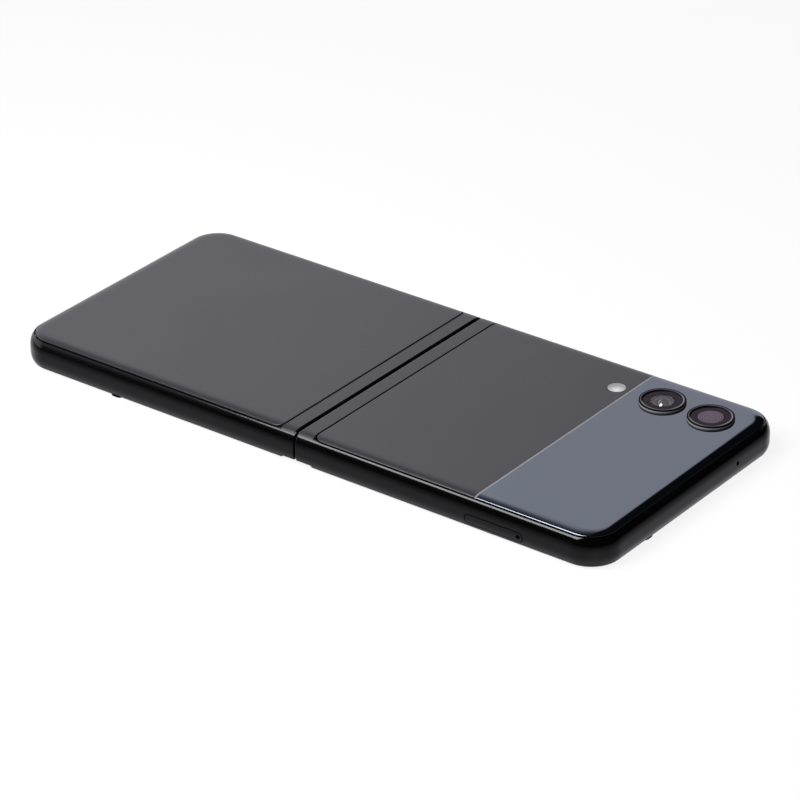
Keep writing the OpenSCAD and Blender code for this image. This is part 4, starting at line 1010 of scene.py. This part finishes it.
def fold_strips(node, name, reach, section, material):
    """Two flat strips, one from each half's reach, that meet in the middle of the spine.
    The section is half a width, and the lowest and highest z."""
    bend = 2 * AXIS_X
    for label, side, body in (("lower", -1, "lower_half"), ("upper", 1, "upper_half")):
        strip = bending_strip(f"{name}_{label}", side * reach, section, material)
        polish(strip)
        ends = [(side * bend * MM, 0, section[1] * MM), (0, 0, section[1] * MM)]
        bodies = [body, "spine"]
        if side > 0:
            ends.reverse()
            bodies.reverse()
        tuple(ends[0])
        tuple(ends[1])
        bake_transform(strip)
        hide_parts(node)


fold_strips("display_fold", "screen_fold", DISPLAY_X - DISPLAY_LAP,
            (display_fold_hi.y, display_fold_lo.z, display_fold_hi.z), FILM)
fold_strips("hinge_flex", "hinge_flex_cable", flex_hi.x, (flex_hi.y, flex_lo.z, flex_hi.z),
            INSIDE["flex_film"])

# ---- Spine cover ----


def spine_section(r, low):
    """Section of the spine about both fold axes, above a height, in x and z."""
    start = math.degrees(math.asin((low - Z_DISP) / r))
    right = arc(AXIS_X, Z_DISP, r, start, 90, 30)
    return right + [(-x, z) for x, z in reversed(right)]


def spine_shape():
    """Trough over the hinge with closed, softly rounded ends."""
    y_end = spine_hi.y
    rounds = [(y_end, 0.16), (y_end - 0.03, 0.08), (y_end - 0.09, 0.02), (y_end - 0.18, 0)]
    rows = [(-y, d) for y, d in rounds] + [(y, d) for y, d in reversed(rounds)]
    outer = build("spine_shell", loft([[(x, y, z) for x, z in spine_section(SPINE_R - d, LIP_Z)]
                                       for y, d in rows]), SPINE)
    inner = build("cut", loft([[(x, y, z) for x, z in spine_section(SPINE_R - SPINE_WALL, LIP_Z - 0.3)]
                               for y in (-y_end + 0.45, y_end - 0.45)]))
    return combine(outer, [inner])


dress(spine_shape(), "spine", "spine_cover")

# ---- Keys and SIM tray ----


def key_face(name, lo, hi, pillow, material):
    """Key with a softly crowned face, its neck and its flange."""
    centre, l, face = ((lo.x + hi.x) / 2, 0, KEY_Z), hi.x - lo.x, hi.y
    rows = [(HALF_W - 1.4, 0), (face - pillow, 0), (face - pillow * 0.6, 0.03),
            (face - pillow * 0.3, 0.09), (face - pillow * 0.1, 0.2), (face, 0.42)]
    key = build(name, bar("y", centre, (l, KEY_H), rows), material)
    neck = prism("y", centre, round_rect(l - 4, 1.2, 0.15), HALF_W - 2.84, HALF_W - 1.38)
    flange = prism("y", centre, round_rect(l - 2.4, 1.9, 0.2), lo.y, lo.y + 0.36)
    return combine(key, [neck, flange], "UNION")


dress(key_face("volume_rocker", rocker_lo, rocker_hi, 0.16, METAL), "rocker", "volume_key")
power = key_face("side_key_cap", power_lo, power_hi, 0.1, METAL)
sensor_l = sensor_hi.x - sensor_lo.x
sensor_h = sensor_hi.z - sensor_lo.z
sensor_c = ((power_lo.x + power_hi.x) / 2, 0, KEY_Z)
sensor_seat = round_rect(sensor_l + 0.06, sensor_h + 0.06, sensor_h / 2 + 0.02)
combine(power, [prism("y", sensor_c, sensor_seat, sensor_lo.y, HALF_W + 1)])
dress(power, "side_key", "power_key")
sensor_rows = [(sensor_lo.y, 0), (sensor_hi.y - 0.06, 0), (sensor_hi.y - 0.02, 0.03), (sensor_hi.y, 0.1)]
sensor = build("touch_sensor", bar("y", sensor_c, (sensor_l, sensor_h), sensor_rows), SENSOR)
dress(sensor, "side_key", "fingerprint_sensor")


def sim_tray():
    """Tray: its face is cut from the body's own curve, with the card's frame behind it."""
    outline = round_rect(TRAY_L, TRAY_H, TRAY_H / 2 - 0.01, n=16)
    face = prism("y", (TRAY_X, 0, TRAY_Z), outline, -HALF_W + 1, -HALF_W - 1, "sim_tray_face")
    combine(face, [body_slab("cut", 1)], "INTERSECT")
    half_l, start, end = CARD_L / 2, -HALF_W + 0.7, tray_hi.y
    rows = [(2.58, 0.04), (2.62, 0), (3.24, 0), (3.28, 0.04)]
    card = []
    for z, d in rows:
        xs = (TRAY_X - half_l + d, TRAY_X + half_l - d)
        card.append(level([(xs[0], start), (xs[1], start), (xs[1], end - d), (xs[0], end - d)], z))
    combine(face, [build("cut", loft(card))], "UNION")
    well = prism("z", (TRAY_X - 1.4, end - 7.4, 0), round_rect(8.9, 12.4, 0.4), 2, 4)
    hole = mouth("y", (TRAY_X + TRAY_L / 2 - 1.15, 0, TRAY_Z), circle(EJECT_R, 40), end + 1,
                 -HALF_W + side_in(TRAY_Z), -HALF_W - 1, 0.05)
    combine(face, [well, hole])
    face.data.materials.clear()
    face.data.materials.append(METAL)
    return face


dress(sim_tray(), "tray", "sim_tray")

# ---- Pieces inside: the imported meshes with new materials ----

for node, obj in frame["nodes"].items():
    obj.data.materials.clear()
    obj.data.materials.append(INSIDE.get(SLOTS.get(node), BARREL))

# ---- Floor, world, lamps and camera ----


def stage_nodes(tree):
    """Helpers that add nodes to a floor or world tree."""
    tree.nodes.clear()

    def put(kind, *values, output=0, operation=None):
        node = tree.nodes.new(kind)
        if operation:
            node.operation = operation
        for socket, value in zip(node.inputs, values):
            if hasattr(value, "node"):
                tree.links.new(value, socket)
            elif value is not None:
                socket.default_value = value
        return node.outputs[output] if node.outputs else None

    def calc(operation, *values):
        return put("ShaderNodeMath", *values, operation=operation)

    return put, calc


def floor():
    """Pale floor: white to the camera apart from the object's soft shadow, and darker
    to gloss the further it lies from the object on the camera's side."""
    half = 4.0
    reach = 8 * MM
    corners = [(-half, -half, 0), (half, -half, 0), (half, half, 0), (-half, half, 0)]
    mesh = bpy.data.meshes.new("floor")
    mesh.from_pydata(corners, [], [(0, 1, 2, 3)])
    obj = placed("floor", mesh)
    obj.location.z = -0.00002
    mat = bpy.data.materials.new("floor")
    mat.use_nodes = True
    put, calc = stage_nodes(mat.node_tree)
    path = put("ShaderNodeLightPath").node.outputs
    xyz = put("ShaderNodeSeparateXYZ", put("ShaderNodeTexCoord", output=3)).node.outputs
    right = calc("MAXIMUM", calc("SUBTRACT", xyz["X"], HALF_L * MM), 0.0)
    front = calc("MAXIMUM", calc("SUBTRACT", calc("MULTIPLY", xyz["Y"], -1.0), HALF_W * MM), 0.0)
    away = calc("SQRT", calc("ADD", calc("MULTIPLY", right, right), calc("MULTIPLY", front, front)))
    level = calc("DIVIDE", 0.78, calc("ADD", calc("MULTIPLY", away, 1 / reach), 1.0))
    glow = put("ShaderNodeEmission", (0.96, 0.94, 1, 1), level)
    bounce = put("ShaderNodeBsdfDiffuse", (0.5, 0.5, 0.5, 1))
    veil = put("ShaderNodeBsdfDiffuse", (0.95, 0.95, 0.95, 1))
    clear = put("ShaderNodeBsdfTransparent")
    seen = put("ShaderNodeMixShader", 0.12, clear, veil)
    shade = put("ShaderNodeMixShader", path["Is Glossy Ray"], bounce, glow)
    shade = put("ShaderNodeMixShader", path["Is Shadow Ray"], shade, clear)
    shade = put("ShaderNodeMixShader", path["Is Camera Ray"], shade, seen)
    put("ShaderNodeOutputMaterial", shade)
    mat.cycles.emission_sampling = "NONE"
    mesh.materials.append(mat)


floor()


def world():
    """White to the camera, a weak even fill, and to gloss a dark studio with one broad
    bright backdrop behind the object and to its left."""
    w = bpy.data.worlds.new("studio")
    bpy.context.scene.world = w
    w.use_nodes = True
    put, calc = stage_nodes(w.node_tree)
    path = put("ShaderNodeLightPath").node.outputs
    turn = put("ShaderNodeMapping", put("ShaderNodeTexCoord"))
    turn.node.inputs["Rotation"].default_value = (0, 0, math.radians(-170))
    xyz = put("ShaderNodeSeparateXYZ", turn).node.outputs
    azimuth = calc("ARCTAN2", xyz["Y"], xyz["X"])
    height = calc("ARCSINE", xyz["Z"])

    def ramp(value, a, b, low, high):
        node = put("ShaderNodeMapRange").node
        node.interpolation_type = "SMOOTHSTEP"
        for socket, number in (("From Min", math.radians(a)), ("From Max", math.radians(b)),
                               ("To Min", low), ("To Max", high)):
            node.inputs[socket].default_value = number
        w.node_tree.links.new(value, node.inputs["Value"])
        return node.outputs["Result"]

    sag = calc("MINIMUM", calc("SUBTRACT", height, math.radians(28)), 0.0)
    edge = ramp(calc("SUBTRACT", azimuth, calc("MULTIPLY", sag, 1.2)), -50.8, -48.2, 0, 1)
    across = calc("MULTIPLY", edge, ramp(azimuth, 45, 65, 1, 0))
    above = calc("MAXIMUM", calc("SUBTRACT", height, math.radians(31)), 0.0)
    fade = calc("EXPONENT", calc("MULTIPLY", above, -1 / math.radians(12)))
    glow = calc("MULTIPLY", fade, ramp(azimuth, -45, -41, 0.9, 1.2))
    level = calc("ADD", calc("MULTIPLY", across, glow), 0.01)
    backdrop = put("ShaderNodeBackground", (0.95, 0.945, 1, 1), level)
    fill = put("ShaderNodeBackground", (1, 1, 1, 1), 0.12)
    white = put("ShaderNodeBackground", (1, 1, 1, 1), 1.0)
    shade = put("ShaderNodeMixShader", path["Is Glossy Ray"], fill, backdrop)
    shade = put("ShaderNodeMixShader", path["Is Transmission Ray"], shade, backdrop)
    shade = put("ShaderNodeMixShader", path["Is Camera Ray"], shade, white)
    put("ShaderNodeOutputWorld", shade)
    w.cycles.sampling_method = "NONE"


world()


def key_light():
    """Large softbox above the near side, 8 times as bright as a white surface."""
    place, size, radiance = (-0.09, -0.222, 0.358), (0.28, 0.32), 8.0
    data = bpy.data.lights.new("key", "AREA")
    data.shape = "RECTANGLE"
    data.size, data.size_y = size
    data.energy = radiance * 4 * size[0] * size[1]
    lamp = placed("key", data)
    lamp.location = place
    lamp.rotation_euler = (-Vector(place)).to_track_quat("-Z", "Y").to_euler()
    lamp.visible_camera = False


key_light()


def camera():
    """Camera at the photograph's viewing angle, distance and framing."""
    data = bpy.data.cameras.new("camera")
    data.sensor_width = 36.0
    data.lens = 181.22
    data.clip_start, data.clip_end = 0.01, 20.0
    cam = placed("camera", data)
    right = Vector((0.79614987, 0.60502563, -0.00945426))
    up = Vector((-0.28083003, 0.38329217, 0.87989864))
    turn = Matrix((right, up, right.cross(up))).transposed()
    cam.matrix_world = Matrix.Translation((0.49672, -0.64377, 0.43971)) @ turn.to_4x4()
    bpy.context.scene.camera = cam


camera()
bpy.context.scene.view_settings.view_transform = "Standard"
